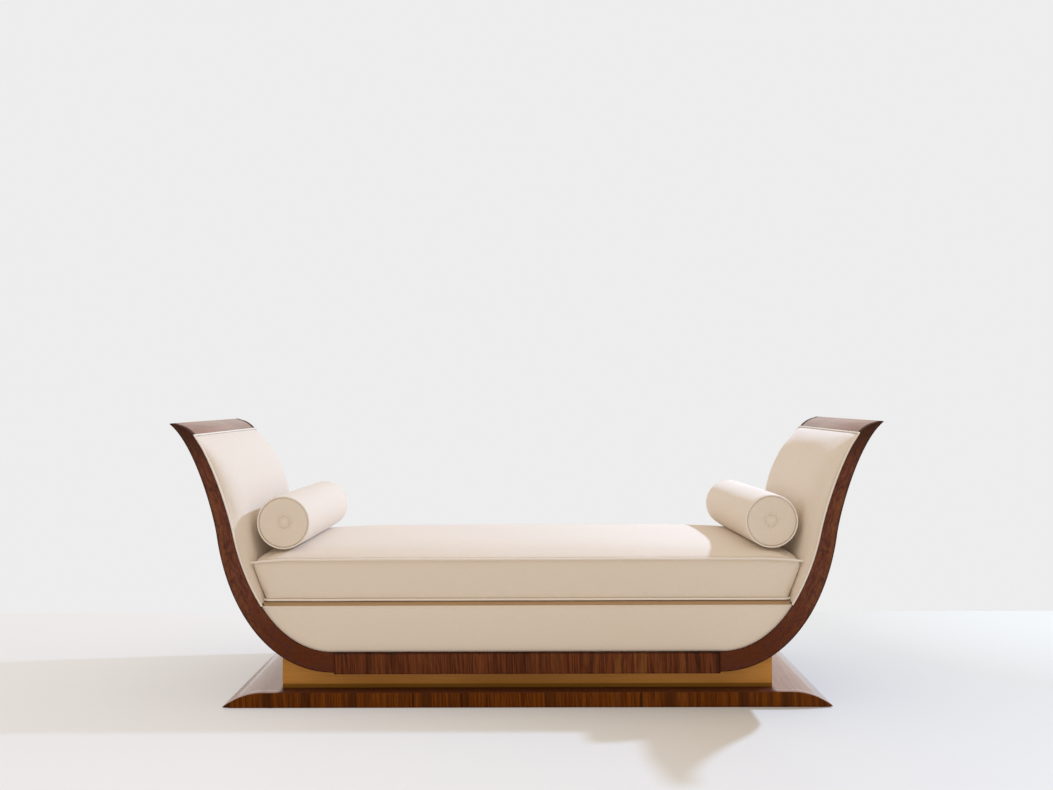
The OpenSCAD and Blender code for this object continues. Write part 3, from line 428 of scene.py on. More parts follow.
def bandWidth(q):
    q = np.atleast_1d(np.asarray(q, float))
    s = np.minimum(3 * band["tipReach"] * q / band["noseLength"], 1)
    power = mix(band["noseEndPower"], band["nosePower"], np.minimum(s / band["noseEnd"], 1))
    swell = np.sin(pi / 2 * np.minimum(np.maximum(q - 1, 0) / band["swell"], 1))
    return np.where(q <= 1, np.sin(pi / 2 * s)**power * mix(band["tipWidth"], band["waistWidth"], q),
                    mix(band["waistWidth"], band["footWidth"], swell))


fine = np.linspace(0, 2, 801)
fineLength = np.concatenate(([0], np.cumsum(np.linalg.norm(np.diff(bandEdge(fine)[0], axis=0), axis=1))))


def lengthAt(q):
    return np.interp(q, fine, fineLength)


def shareAt(length):
    return np.interp(length, fineLength, fine)


# a closed piece with its faces outwards; grain has a vector for each point,
# sheets the flat place of each corner of each face, in metres
def makePiece(name, points, faces, material, grain=None, sheets=None, sharp=None):
    mesh = bpy.data.meshes.new(name)
    mesh.from_pydata([tuple(map(float, p)) for p in points], [], faces)
    if grain is not None:
        layer = mesh.attributes.new("grain", "FLOAT_VECTOR", "POINT")
        layer.data.foreach_set("vector", np.asarray(grain, np.float32).ravel())
    if sheets:
        layer = mesh.uv_layers.new(name="cloth")
        layer.data.foreach_set("uv", np.asarray([uv for face in sheets for uv in face], np.float32).ravel())
    shape = bmesh.new()
    shape.from_mesh(mesh)
    if shape.calc_volume(signed=True) < 0:
        bmesh.ops.reverse_faces(shape, faces=shape.faces)
    shape.to_mesh(mesh)
    shape.free()
    mesh.materials.append(material)
    mesh.shade_smooth()
    if sharp:
        mesh.set_sharp_from_angle(angle=radians(sharp))
    return inScene(name, mesh)


# the piece with its modifiers turned into mesh
def plainMesh(piece):
    bpy.context.view_layer.update()
    seen = piece.evaluated_get(bpy.context.evaluated_depsgraph_get())
    mesh = bpy.data.meshes.new_from_object(seen)
    piece.modifiers.clear()
    piece.data = mesh
    mesh.shade_smooth()
    return piece


# the angles from which an edge is sharp, before and after its arris is made
crease = {"plain": 35, "arris": 38}


def bevelled(piece, width):
    angle = radians(crease["arris"])
    bevel = piece.modifiers.new("arris", "BEVEL")
    bevel.width, bevel.segments, bevel.limit_method, bevel.angle_limit = width, 2, "ANGLE", angle
    plainMesh(piece).data.set_sharp_from_angle(angle=angle)
    return piece


# an outline in X and Z carried from one depth to another
def prism(name, outline, front, back, material, arris):
    count = len(outline)
    points = [(x, y, z) for y in (front, back) for x, z in outline]
    faces = [tuple(range(count)), tuple(range(2 * count - 1, count - 1, -1))]
    faces += [((i + 1) % count, i, count + i, count + (i + 1) % count) for i in range(count)]
    piece = makePiece(name, points, faces, material, sharp=crease["plain"])
    return bevelled(piece, arris) if arris else piece


def gridFaces(rows, cols, first=0, ring=False):
    grid = np.arange(first, first + rows * cols).reshape(rows, cols)
    if ring:
        grid = np.hstack((grid, grid[:, :1]))
    return np.stack((grid[:-1, :-1], grid[:-1, 1:], grid[1:, 1:], grid[1:, :-1]), 2).reshape(-1, 4).tolist()


# faces of a tube with both ends closed
def tubeFaces(rows, around):
    last = (rows - 1) * around
    return gridFaces(rows, around, ring=True) + [
        tuple(range(around)), tuple(range(last + around - 1, last - 1, -1))]


def settle(piece, body, slot, *replaced):
    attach(piece, body)
    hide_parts(*replaced)


# a strip along the S with rounded arrises; each turn is an angle, at the back or not, inwards or not
def bandStrip(name, hand, q, width, material, front, back, arris):
    edge, ways = bandEdge(q)
    r = np.minimum(arris, width * .42)
    rings, grain = [], []
    turns = [(180, 0, 0), (225, 0, 0), (270, 0, 0), (270, 1, 0), (315, 1, 0), (360, 1, 0),
             (0, 1, 1), (45, 1, 1), (90, 1, 1), (90, 0, 1), (135, 0, 1), (180, 0, 1)]
    for angle, atBack, inwards in turns:
        a = radians(angle)
        y = (back - r if atBack else front + r) + r * cos(a)
        n = (width - r if inwards else r) + r * sin(a)
        place = edge + n[:, None] * ways
        rings.append(np.stack((place[:, 0] * hand, y, place[:, 1]), 1))
        grain.append(np.stack((lengthAt(q), n, y), 1))
    points, grain = (np.stack(part, 1).reshape(-1, 3) for part in (rings, grain))
    return makePiece(name, points, tubeFaces(len(q), len(turns)), material, grain, sharp=crease["plain"])


# stops from the tip to an end, closer together round the nose
def bandStops(noseCount, end, count):
    run = band["tipRun"]
    return np.concatenate((np.linspace(0, 1, noseCount)[1:]**2 * run + band["gap"],
                           np.linspace(run, end, count)[1:]))


def bandsAndSkins():
    b, stops = band, bandStops(26, 2, 150)
    for side, hand in hands.items():
        for face, front, back in bothFaces(b["face"], b["inner"]):
            piece = bandStrip(f"{face}{side.title()}Band", hand, stops, bandWidth(stops), curvedBand,
                              front, back, b["arris"])
            settle(piece, "frame", "rosewood", f"{face}_{side}_sickle")
    capStops = bandStops(20, capShare, 12)
    skinStops = np.linspace(capShare + b["gap"], 2, 130)
    for side, hand in hands.items():
        for part, q, width, node, wood in (
                ("CapWood", capStops, bandWidth(capStops), "cap", capWood),
                ("OuterSkin", skinStops, np.full(len(skinStops), b["skin"]), "outer_skin", skinWood)):
            piece = bandStrip(side + part, hand, q, width, wood, -b["inner"], b["inner"], b["thinArris"])
            settle(piece, "frame", "rosewood", f"{side}_{node}")


rail = {"half": .570, "low": .100, "high": .161, "proud": .345, "inner": .314, "corner": .0025,
        "arris": .001, "seam": .5695}
railWood = uprightFinish("rosewoodRail", rosewood["rail"], rosewood["brown"], .75, rail["seam"],
                         low=rail["low"], high=rail["high"])


def centreRails():
    r, x = rail["corner"], rail["half"] - rail["corner"]
    low, high = rail["low"] + r, rail["high"] - r
    outline = [(sx * x + r * cos(a), z + r * sin(a))
               for sx, z, start in ((1, high, 0), (-1, high, 90), (-1, low, 180), (1, low, 270))
               for a in (radians(start + 90 * i / 5) for i in range(6))]
    for face, front, back in bothFaces(rail["proud"], rail["inner"]):
        piece = prism(f"{face}StraightRail", outline, front, back, railWood, rail["arris"])
        settle(piece, "frame", "rosewood", f"{face}_center_rail")


plinth = {"half": .900, "flat": .780, "depth": .345, "inner": .315, "low": .0012, "top": .046,
          "tip": .002, "undercut": .002, "undercutRun": .026, "power": 2.1, "panelHalf": .768,
          "arris": .0007, "seam": .336}
plinthWood = uprightFinish("rosewoodPlinth", *rosewood["plinth"], .3, plinth["seam"], arches=.9)


def plinthPieces():
    p = plinth
    tipLow = p["low"] + p["undercut"]
    bow = [(p["flat"] + (p["half"] - p["flat"]) * s,
            tipLow + p["tip"] + (p["top"] - tipLow - p["tip"]) * (1 - s**p["power"]))
           for s in np.linspace(0, 1, 48)]
    half = bow + [(p["half"], tipLow), (p["half"] - p["undercutRun"], p["low"])]
    whole = half + [(-x, z) for x, z in reversed(half)]
    for face, front, back in bothFaces(p["depth"], p["inner"]):
        piece = prism(f"{face}PlinthRail", whole, front, back, plinthWood, p["arris"])
        piece.data.materials.append(plinthTop)
        for polygon in piece.data.polygons:
            if polygon.normal.z > .2:
                polygon.material_index = 1
        settle(piece, "frame", "rosewood", f"base_{face}_rail")
    end = [(p["panelHalf"], p["low"]), (p["panelHalf"], p["top"])] + half
    for side, hand in hands.items():
        piece = prism(f"{side}PlinthEnd", [(x * hand, z) for x, z in end],
                      -p["inner"], p["inner"], plinthTop, 0)
        settle(piece, "frame", "rosewood", f"base_{side}_end")


pedestal = {"x": .734, "y": .292, "panel": .018, "low": .046, "arris": .0006}


# panels scribed to the round underside of the hull
def pedestalPanels():
    p = pedestal
    edge = bandEdge(np.linspace(1, 2, 400))[0]

    def topAt(x):
        return float(np.interp(x, edge[::-1, 0], edge[::-1, 1]))

    under = [(p["x"], topAt(p["x"]))] + [tuple(e) for e in edge if e[0] < p["x"]][::4] + [band["foot"]]
    outline = [(-p["x"], p["low"]), (p["x"], p["low"])] + under + [(-x, z) for x, z in reversed(under)]
    for face, front, back in bothFaces(p["y"], p["y"] - p["panel"]):
        piece = prism(f"{face}PedestalPanel", outline, front, back, honeyVeneer, p["arris"])
        settle(piece, "frame", "honey_veneer", f"pedestal_{face}_panel")
    inner = p["x"] - p["panel"]
    end = [(inner, p["low"]), (p["x"], p["low"])] + [(x, topAt(x)) for x in np.linspace(p["x"], inner, 7)]
    for side, hand in hands.items():
        piece = prism(f"{side}PedestalPanel", [(x * hand, z) for x, z in end],
                      p["panel"] - p["y"], p["y"] - p["panel"], honeyVeneer, 0)
        settle(piece, "frame", "honey_veneer", f"pedestal_{side}_panel")


bandsAndSkins()
centreRails()
plinthPieces()
pedestalPanels()
print("woods made")


# unevenness of a cloth at its points, from waves of a scale, a seed and a height
def uneven(points, *waves):
    def at(point):
        return sum(noise.noise(Vector(point) * scale + Vector((seed, seed * .7, -seed))) * height
                   for scale, seed, height in waves)

    return np.apply_along_axis(at, -1, points)


def coordinates(piece):
    flat = np.zeros(len(piece.data.vertices) * 3)
    piece.data.vertices.foreach_get("co", flat)
    return flat.reshape(-1, 3)


def setCoordinates(piece, points):
    piece.data.vertices.foreach_set("co", np.asarray(points, np.float32).ravel())
    piece.data.update()


# how the cloth of the covers behaves while it is blown up
coverCloth = {"quality": 6, "mass": .25, "tension_stiffness": 18, "compression_stiffness": 18,
              "shear_stiffness": 8, "bending_stiffness": .6, "use_pressure": True,
              "vertex_group_mass": "held"}


# blows a cover up as cloth, with the held points fixed, and keeps each move under the most
def fillOut(piece, held, pressure, most, slack=0.0, frames=20):
    before = coordinates(piece)
    piece.vertex_groups.new(name="held").add([int(i) for i in held], 1.0, "REPLACE")
    cloth = piece.modifiers.new("cover", "CLOTH")
    for key, value in coverCloth.items():
        setattr(cloth.settings, key, value)
    cloth.settings.uniform_pressure_force, cloth.settings.shrink_min = pressure, -slack
    cloth.settings.effector_weights.gravity = 0
    cloth.point_cache.frame_start, cloth.point_cache.frame_end = 1, frames
    for step in range(1, frames + 1):
        scene.frame_set(step)
    seen = piece.evaluated_get(bpy.context.evaluated_depsgraph_get())
    after = np.array([v.co for v in seen.data.vertices])
    piece.modifiers.clear()
    piece.vertex_groups.clear()
    scene.frame_set(1)
    move = after - before
    size = np.linalg.norm(move, axis=1)
    move *= (most * np.tanh(size / most) / np.maximum(size, 1e-9))[:, None]
    setCoordinates(piece, before + move)


def subdivided(piece):
    finer = piece.modifiers.new("finer", "SUBSURF")
    finer.levels = finer.render_levels = 1
    finer.uv_smooth = "NONE"
    plainMesh(piece)


# a padded piece of cream cloth
def upholster(piece, body, fill, *replaced):
    settle(piece, body, "cream_cloth", *replaced)


def rimOf(rows, cols, first=0):
    grid = np.arange(first, first + rows * cols).reshape(rows, cols)
    return np.concatenate((grid[0], grid[1:, -1], grid[-1, -2::-1], grid[-2:0:-1, 0])).tolist()


# a closed cloth piece: a top sheet, rings down its side and an underside
def pillow(name, top, flat, rings, low, cloth=None, sharp=None):
    rows, cols = top.shape[:2]
    rim = rimOf(rows, cols)
    count, flat = len(rim), flat.reshape(-1, 2)
    points = np.concatenate([top.reshape(-1, 3)] + list(rings) + [low.reshape(-1, 3)])
    lowFirst = rows * cols + count * len(rings)
    faces = gridFaces(rows, cols)
    sheets = [[flat[i] for i in face] for face in faces]
    loops = [rim] + [[rows * cols + k * count + i for i in range(count)] for k in range(len(rings))]
    loops.append(rimOf(rows, cols, lowFirst))
    steps = np.linalg.norm(np.diff(points[rim + rim[:1]], axis=0), axis=1)
    run, down = np.concatenate(([0], np.cumsum(steps))), 0.0
    for a, b in zip(loops, loops[1:]):
        deeper = down + float(np.linalg.norm(points[b[0]] - points[a[0]]))
        for i in range(count):
            j = (i + 1) % count
            faces.append((a[j], a[i], b[i], b[j]))
            sheets.append([(run[i + 1], down), (run[i], down), (run[i], deeper), (run[i + 1], deeper)])
        down = deeper
    under = [tuple(reversed(face)) for face in gridFaces(rows, cols, lowFirst)]
    sheets += [[flat[i - lowFirst] for i in face] for face in under]
    return makePiece(name, points, faces + under, cloth or creamCloth, None, sheets, sharp), loops


# welts: a round cord along a line, made by a node tree
welt = {"step": .004, "sides": 12, "fill": .9}


def weltTree():
    tree = bpy.data.node_groups.new("weltAlongLine", "GeometryNodeTree")
    kinds = {"Line": "Geometry", "Radius": "Float", "Step": "Float", "Sides": "Int", "Waver": "Float",
             "Waver Scale": "Float", "Seed": "Float", "Cloth": "Material"}
    add = tree.interface.new_socket
    names = {label: add(name=label, in_out="INPUT", socket_type="NodeSocket" + kind).identifier
             for label, kind in kinds.items()}
    add(name="Welt", in_out="OUTPUT", socket_type="NodeSocketGeometry")
    web = Web(tree, "GeometryNode")
    start = web.add("NodeGroupInput")
    line = web.add("MeshToCurve", {0: start["Line"]})
    even = web.add("ResampleCurve", {0: line, "Length": start["Step"]}, mode="LENGTH")
    shift = web.add("ShaderNodeVectorMath", {0: web.add("InputPosition"), 1: start["Seed"]})
    wave = web.add("ShaderNodeTexNoise", {"Vector": shift, "Scale": start["Waver Scale"], "Detail": 1.0})
    centred = web.add("ShaderNodeVectorMath", {0: wave["Color"], 1: (.5, .5, .5)}, operation="SUBTRACT")
    offset = web.add("ShaderNodeVectorMath", {0: centred, "Scale": start["Waver"]}, operation="SCALE")
    moved = web.add("SetPosition", {0: even, "Offset": offset})
    ring = web.add("CurvePrimitiveCircle",
                   {"Resolution": start["Sides"], "Radius": start["Radius"]})
    tube = web.add("CurveToMesh", {0: moved, 1: ring, "Fill Caps": True})
    whole = web.add("RealizeInstances", {0: tube})
    dressed = web.add("SetMaterial", {0: whole, "Material": start["Cloth"]})
    web.add("NodeGroupOutput", {0: dressed})
    return tree, names


weltNodes, weltInputs = weltTree()


# closed or open lines of points become one welt piece
def weltPiece(name, lines, closed, waver, waverScale, seed, radius):
    points, edges = [], []
    for line in lines:
        first = len(points)
        points += [tuple(map(float, p)) for p in line]
        edges += [(first + i, first + i + 1) for i in range(len(line) - 1)]
        if closed:
            edges.append((len(points) - 1, first))
    mesh = bpy.data.meshes.new(name)
    mesh.from_pydata(points, edges, [])
    piece = inScene(name, mesh)
    modifier = piece.modifiers.new("welt", "NODES")
    modifier.node_group = weltNodes
    for label, value in {"Radius": radius, "Step": welt["step"], "Sides": welt["sides"], "Waver": waver,
                         "Waver Scale": waverScale, "Seed": seed, "Cloth": weltClothPaintedHighlight}.items():
        modifier[weltInputs[label]] = value
    plainMesh(piece)
    shape = bmesh.new()
    shape.from_mesh(piece.data)
    bmesh.ops.recalc_face_normals(shape, faces=shape.faces)
    layer = shape.loops.layers.uv.new("cloth")
    for face in shape.faces:
        for loop in face.loops:
            x, y, z = loop.vert.co
            loop[layer].uv = (x + y, z + y * .5)
    shape.to_mesh(piece.data)
    shape.free()
    piece.data.shade_smooth()
    return piece


# arm pads, whose q and lengths run down the band from the cap to the seat
armPad = {"start": .0072, "rows": 78, "cols": 48, "edge": .0035, "seat": .0003, "crown": .026,
          "crownRun": (-.045, .23), "bulge": .016, "bulgeTop": .66, "bulgeEnd": 1.08, "sink": .012,
          "side": .3338, "sidePower": 11, "sunk": .31365, "tuck": .007, "fill": .55, "lift": .005,
          "pressure": 2.5, "capDip": .0032, "capDipRun": .006, "calmRun": .04, "calmSide": 9}
armWaves = {-1: ((5, 2, .0016), (16, 8, .0005)), 1: ((5, 4, .0016), (16, 8, .0005))}
armWelt = {"side": .3377, "rise": .0033, "radius": .0031, "start": .0036, "stops": 110, "across": 62,
           "capStops": 9, "capRise": .1, "waver": .0003, "waverScale": 12}
armSheets = {}


def bump(value):
    return np.sin(pi / 2 * np.clip(value, 0, 1))**2


def armRise(q, y):
    a = armPad
    share = (q - capShare) / (band["padEnd"] - capShare)
    bulge = np.where(q < a["bulgeTop"], bump((q - capShare) / (a["bulgeTop"] - capShare)),
                     bump((a["bulgeEnd"] - q) / (a["bulgeEnd"] - a["bulgeTop"])))
    full = np.maximum(1 - np.abs(y / a["side"])**a["sidePower"], 0)**.5
    crown = np.where(share < .5, smooth(*a["crownRun"], share), 1 - np.maximum(2 * share - 1, 0)**4)
    return a["edge"] * .5 + (a["edge"] * .5 + a["crown"] * crown + a["bulge"] * bulge) * full


# points over a line of the band, at a height over its outer edge
def overBand(lengths, y, n, hand):
    edge, ways = bandEdge(shareAt(lengths))
    n = n + 0 * y[None, :]
    return np.stack((hand * (edge[:, 0, None] + n * ways[:, 0, None]), np.broadcast_to(y, n.shape),
                     edge[:, 1, None] + n * ways[:, 1, None]), 2)


def armPads():
    a = armPad
    lengths = np.linspace(lengthAt(capShare) + a["start"], lengthAt(band["padEnd"]), a["rows"])
    y = a["side"] * np.sin(np.linspace(-pi / 2, pi / 2, a["cols"]))
    tucked = mix(lengths, lengths.mean(), a["tuck"])
    narrow = y * a["sunk"] / a["side"]
    width = bandWidth(shareAt(lengths))[:, None]
    rise = armRise(shareAt(lengths)[:, None], y[None, :])
    calm = np.minimum(1, (1 - np.abs(y) / a["side"]) * a["calmSide"])
    calm = calm * np.minimum(1, (lengths - lengths[0]) / a["calmRun"])[:, None]
    rise -= a["capDip"] * smooth(a["capDipRun"], 0, lengths - lengths[0])[:, None] * (rise > .002)
    rim = rimOf(a["rows"], a["cols"])
    flat = np.stack(np.broadcast_arrays(y[None, :], lengths[:, None]), 2)
    for side, hand in hands.items():
        top = overBand(lengths, y, width + rise, hand)
        rings = [overBand(at, ys, width + a["seat"], hand).reshape(-1, 3)[rim]
                 for at, ys in ((lengths, y), (tucked, narrow))]
        low = overBand(tucked, narrow, width - a["sink"], hand)
        pad = pillow(f"{side}ArmPad", top, flat, rings, low)[0]
        topCount = a["rows"] * a["cols"]
        fillOut(pad, list(range(topCount, len(pad.data.vertices))) + rim, a["pressure"], a["lift"])
        co = coordinates(pad)
        co[:topCount, 0] -= hand * uneven(co[:topCount], *armWaves[hand]) * calm.ravel()
        setCoordinates(pad, co)
        armSheets[hand] = co[:topCount].reshape(top.shape)
        subdivided(pad)
        upholster(pad, "frame", a["fill"], f"{side}_arm_pad")
        armWeltPiece(side, hand)


# up the front band, across below the cap and down the back band
def armWeltPiece(side, hand):
    w = armWelt
    q = np.linspace(shareAt(lengthAt(capShare) + w["start"]), band["weltEnd"], w["stops"])
    edge, ways = bandEdge(q)
    eased = np.interp(np.arange(w["stops"]), (0, w["capStops"]), (w["capRise"], 1))
    leg = edge + (bandWidth(q) + w["rise"] * eased)[:, None] * ways
    line = [(x * hand, -w["side"], z) for x, z in leg[::-1]]
    line += [(leg[0, 0] * hand, y, leg[0, 1])
             for y in np.linspace(-w["side"], w["side"], w["across"])[1:-1]]
    line += [(x * hand, w["side"], z) for x, z in leg]
    piece = weltPiece(f"{side}ArmWelt", [line], False, w["waver"], w["waverScale"], 2 + hand, w["radius"])
    upholster(piece, "frame", welt["fill"], f"{side}_arm_welt")


# how far out from the middle the arm cloth stands, at a depth and a level
def armWall(hand, y, z):
    sheet = armSheets[hand]
    depths = sheet[0, :, 1]
    low = sheet[sheet.shape[0] // 3:][::-1]
    after = int(np.searchsorted(depths, y))
    return min(float(np.interp(z, low[:, c, 2], np.abs(low[:, c, 0])))
               for c in (max(after - 1, 0), min(after, len(depths) - 1)))


armPads()
print("arms upholstered")


apron = {"top": .298, "board": .326, "pad": .007, "crown": .0035, "rows": 12, "fill": .35, "round": .0045,
         "clear": .0004, "railClear": .0003, "endClear": .006, "overlap": .0006, "waves": ((9, 5, .0007),),
         "lip": .0016, "lipDrop": .0035, "lipRun": .0022, "crease": 60, "lowStops": (0, .02, .06),
         "middle": (.12, .88), "topStops": (.93, .955, .975, .99, 1)}


def apronPads():
    a = apron
    # inner edge of the bands and the top of the straight rail, from the right end to the left
    q = np.linspace(1.3, 2, 220)
    edge, ways = bandEdge(q)
    side = [(x, z) for x, z in edge + bandWidth(q)[:, None] * ways
            if rail["high"] + a["clear"] < z < a["top"] - a["endClear"]]
    foot = side + [(x, rail["high"] + a["railClear"]) for x in np.linspace(rail["half"], -rail["half"], 60)]
    foot = np.array(foot + [(-x, z) for x, z in reversed(side)])
    share = np.concatenate((a["lowStops"], np.linspace(*a["middle"], a["rows"]), a["topStops"]))[None, :]
    x = np.broadcast_to(foot[:, 0, None], (len(foot), share.shape[1]))
    tall = a["top"] + a["overlap"] - foot[:, 1, None]
    level = foot[:, 1, None] + tall * share
    dome = (1 - np.abs(2 * share - 1)**4) * (1 - np.minimum(np.abs(x) / foot[0, 0], 1)**6)
    near = np.minimum(np.minimum(share, 1 - share) * tall / a["round"], 1)
    turned = a["round"] * (1 - np.sqrt(np.maximum(0, 1 - (1 - near)**2)))
    lip = a["lip"] * np.exp(-((tall * (1 - share) - a["lipDrop"]) / a["lipRun"])**2)
    for face, hand in (("front", -1), ("back", 1)):
        wobble = uneven(np.dstack((x, level, np.full(x.shape, hand))), *a["waves"]) * dome
        depth = hand * (a["board"] + a["pad"] + a["crown"] * dome - turned + lip + wobble)
        behind = np.full(x.shape, hand * (a["board"] + a["clear"]))
        piece = pillow(f"{face}Apron", np.stack((x, depth, level), 2), np.stack((x, level), 2), [],
                       np.stack((x, behind, level), 2), sharp=a["crease"])[0]
        upholster(piece, "frame", a["fill"], f"{face}_apron_pad")


deck = {"depth": .3135, "low": .2945, "top": .306, "fall": .0078, "fallRun": .008, "clear": .0003,
        "fill": .2, "edge": (0, .002, .006), "edgeEnd": .0045, "rim": .010, "border": .03,
        "waves": ((8, 4, .0003),), "crease": 50}


def deckPad():
    d = deck
    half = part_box("seat_deck_pad")[1].x - d["clear"]
    edge, deep, border = np.array(d["edge"]), d["depth"], d["border"]
    xs = np.concatenate((edge - half, np.linspace(border - half, half - border, 60), (half - edge)[::-1]))
    ys = np.concatenate((edge / 2 - deep, np.linspace(d["edgeEnd"] - deep, d["rim"] - deep, 5),
                         np.linspace(border - deep, deep - border, 18),
                         np.linspace(deep - d["rim"], deep - d["edgeEnd"], 5), (deep - edge / 2)[::-1]))
    x, y = np.meshgrid(xs, ys, indexing="ij")
    drop = d["fall"] * smooth(deep - d["fallRun"], deep, np.abs(y))
    z = d["top"] - drop + uneven(np.dstack((x, y, 0 * x)), *d["waves"])
    piece = pillow("seatDeck", np.stack((x, y, z), 2), np.stack((x, y), 2), [],
                   np.stack((x, y, 0 * x + d["low"]), 2), deckClothPaintedShade, d["crease"])[0]
    upholster(piece, "frame", d["fill"], "seat_deck_pad")


apronPads()
deckPad()
print("aprons and deck made")


# turn in degrees; trough is the gap beside and past the bolster where it presses into the cushion
bolster = {"x": .727, "z": .539196, "half": .275, "radius": .082, "draw": .0018, "dish": .008,
           "dimple": .003, "dimpleRun": .009, "turn": {-1: 1.7, 1: 2.7}, "around": 112, "along": 44,
           "fill": .8,
           "rim": ((.0063, .0040), (.0052, .0052), (.0020, .0058), (.0003, .0075)), "reach": .0074,
           "bodyEnd": .013, "pucker": .0009, "puckerRun": .050, "pressure": 3, "lift": .003,
           "trough": (.0006, .012), "seat": .0003}
bolsterWaves = {-1: ((9, 6, .0011),), 1: ((9, 8, .0011),)}
bolsterWelt = {"radius": .0026, "inset": .0003, "stops": 120, "waver": .0003, "waverScale": 18}
button = {"radius": .0175, "thick": .0085, "around": 48, "fill": .95, "sink": .0006,
          "profile": ((.50, .0), (.90, .02), (1.0, .10), (1.0, .20), (.93, .38), (.82, .56), (.66, .74),
                      (.45, .89), (.22, .97))}


def bolsterPlace(hand, points):
    turn = hand * radians(bolster["turn"][hand])
    points = np.asarray(points, float)
    x = points[:, 0] * cos(turn) - points[:, 1] * sin(turn) + hand * bolster["x"]
    y = points[:, 0] * sin(turn) + points[:, 1] * cos(turn)
    return np.stack((x, y, points[:, 2] + bolster["z"]), 1)


# level of the underside of the bolsters over a place of the cushion
def troughLevel(x, y):
    b = bolster
    clear, endClear = b["trough"]
    r = b["radius"] + clear
    hand = np.where(x < 0, -1, 1)
    turn = np.radians(np.where(x < 0, -b["turn"][-1], b["turn"][1]))
    off = np.abs((x - hand * b["x"]) * np.cos(turn) + y * np.sin(turn))
    level = b["z"] - np.sqrt(r * r - np.minimum(off, r)**2)
    return np.where(np.abs(y) < b["half"] + endClear, level, np.inf)


cushion = {"top": .816, "low": .781, "depth": .310, "corner": .020, "floor": .30635, "lowSeam": .31335,
           "topSeam": .43335, "topNotch": .0085, "notch": .0028, "brow": .0020, "groove": .0078,
           "crown": .038, "bow": .0008, "boxing": (0, .05, .13, .25, .38, .5, .62, .75, .87, .95, 1),
           "step": .0042, "under": ((.0042, .0035), (.00565, .010)), "floorDraw": .018,
           "bolsterClear": .0005, "flatRun": .60, "pressure": 3.5, "slack": .004, "lift": .006,
           "sideLift": .0018, "fill": .7}
cushionWelt = {"out": .0034, "radius": .0034, "waver": .0006, "waverScale": 11, "seed": 5}
wear = {"ear": .006, "earRun": .03, "sideEar": .6, "spread": .007, "spreadRun": .05, "droop": .006,
        "droopFrom": (.69, .83), "earDroop": .006, "earDroopFrom": (.785, .82), "outer": (.12, .31),
        "seamRun": .009, "topWaves": ((3, 2, .0014), (11, 6, .0005)), "topRun": .05,
        "pullWaves": ((14, 9, .0009),), "pullRun": .02, "sideWaves": ((6, 11, .0018),),
        "smallWaves": ((20, 4, .0008),), "sideRun": .01, "fold": (.79, .55, .006, .0028),
        "seamWaves": ((7, 21, .0012),), "nearSeam": (.002, .003), "sideStart": .012,
        "endsFrom": .72, "wallClear": (.0065, .0008)}


# the grid of the cushion in plan, with round corners, drawn in by a little
def cushionPlan(xs, ys, halfX, draw):
    c = cushion

    def stops(values, half, whole):
        flat = whole - c["corner"]
        inner = values * (half - c["corner"]) / flat
        outer = np.sign(values) * (half - c["corner"] + (np.abs(values) - flat) * (1 - draw / c["corner"]))
        return np.where(np.abs(values) <= flat, inner, outer)

    px, py = np.meshgrid(stops(xs, halfX, c["top"]), stops(ys, c["depth"], c["depth"]), indexing="ij")
    r = c["corner"] - draw
    hx, hy = halfX - draw, c["depth"] - draw
    u, v = (np.abs(px) - (hx - r)) / r, (np.abs(py) - (hy - r)) / r
    corner = (u > 0) & (v > 0)
    cx = np.sign(px) * (hx - r + r * u * np.sqrt(np.maximum(1 - v * v / 2, 0)))
    cy = np.sign(py) * (hy - r + r * v * np.sqrt(np.maximum(1 - u * u / 2, 0)))
    return np.where(corner, cx, px), np.where(corner, cy, py)


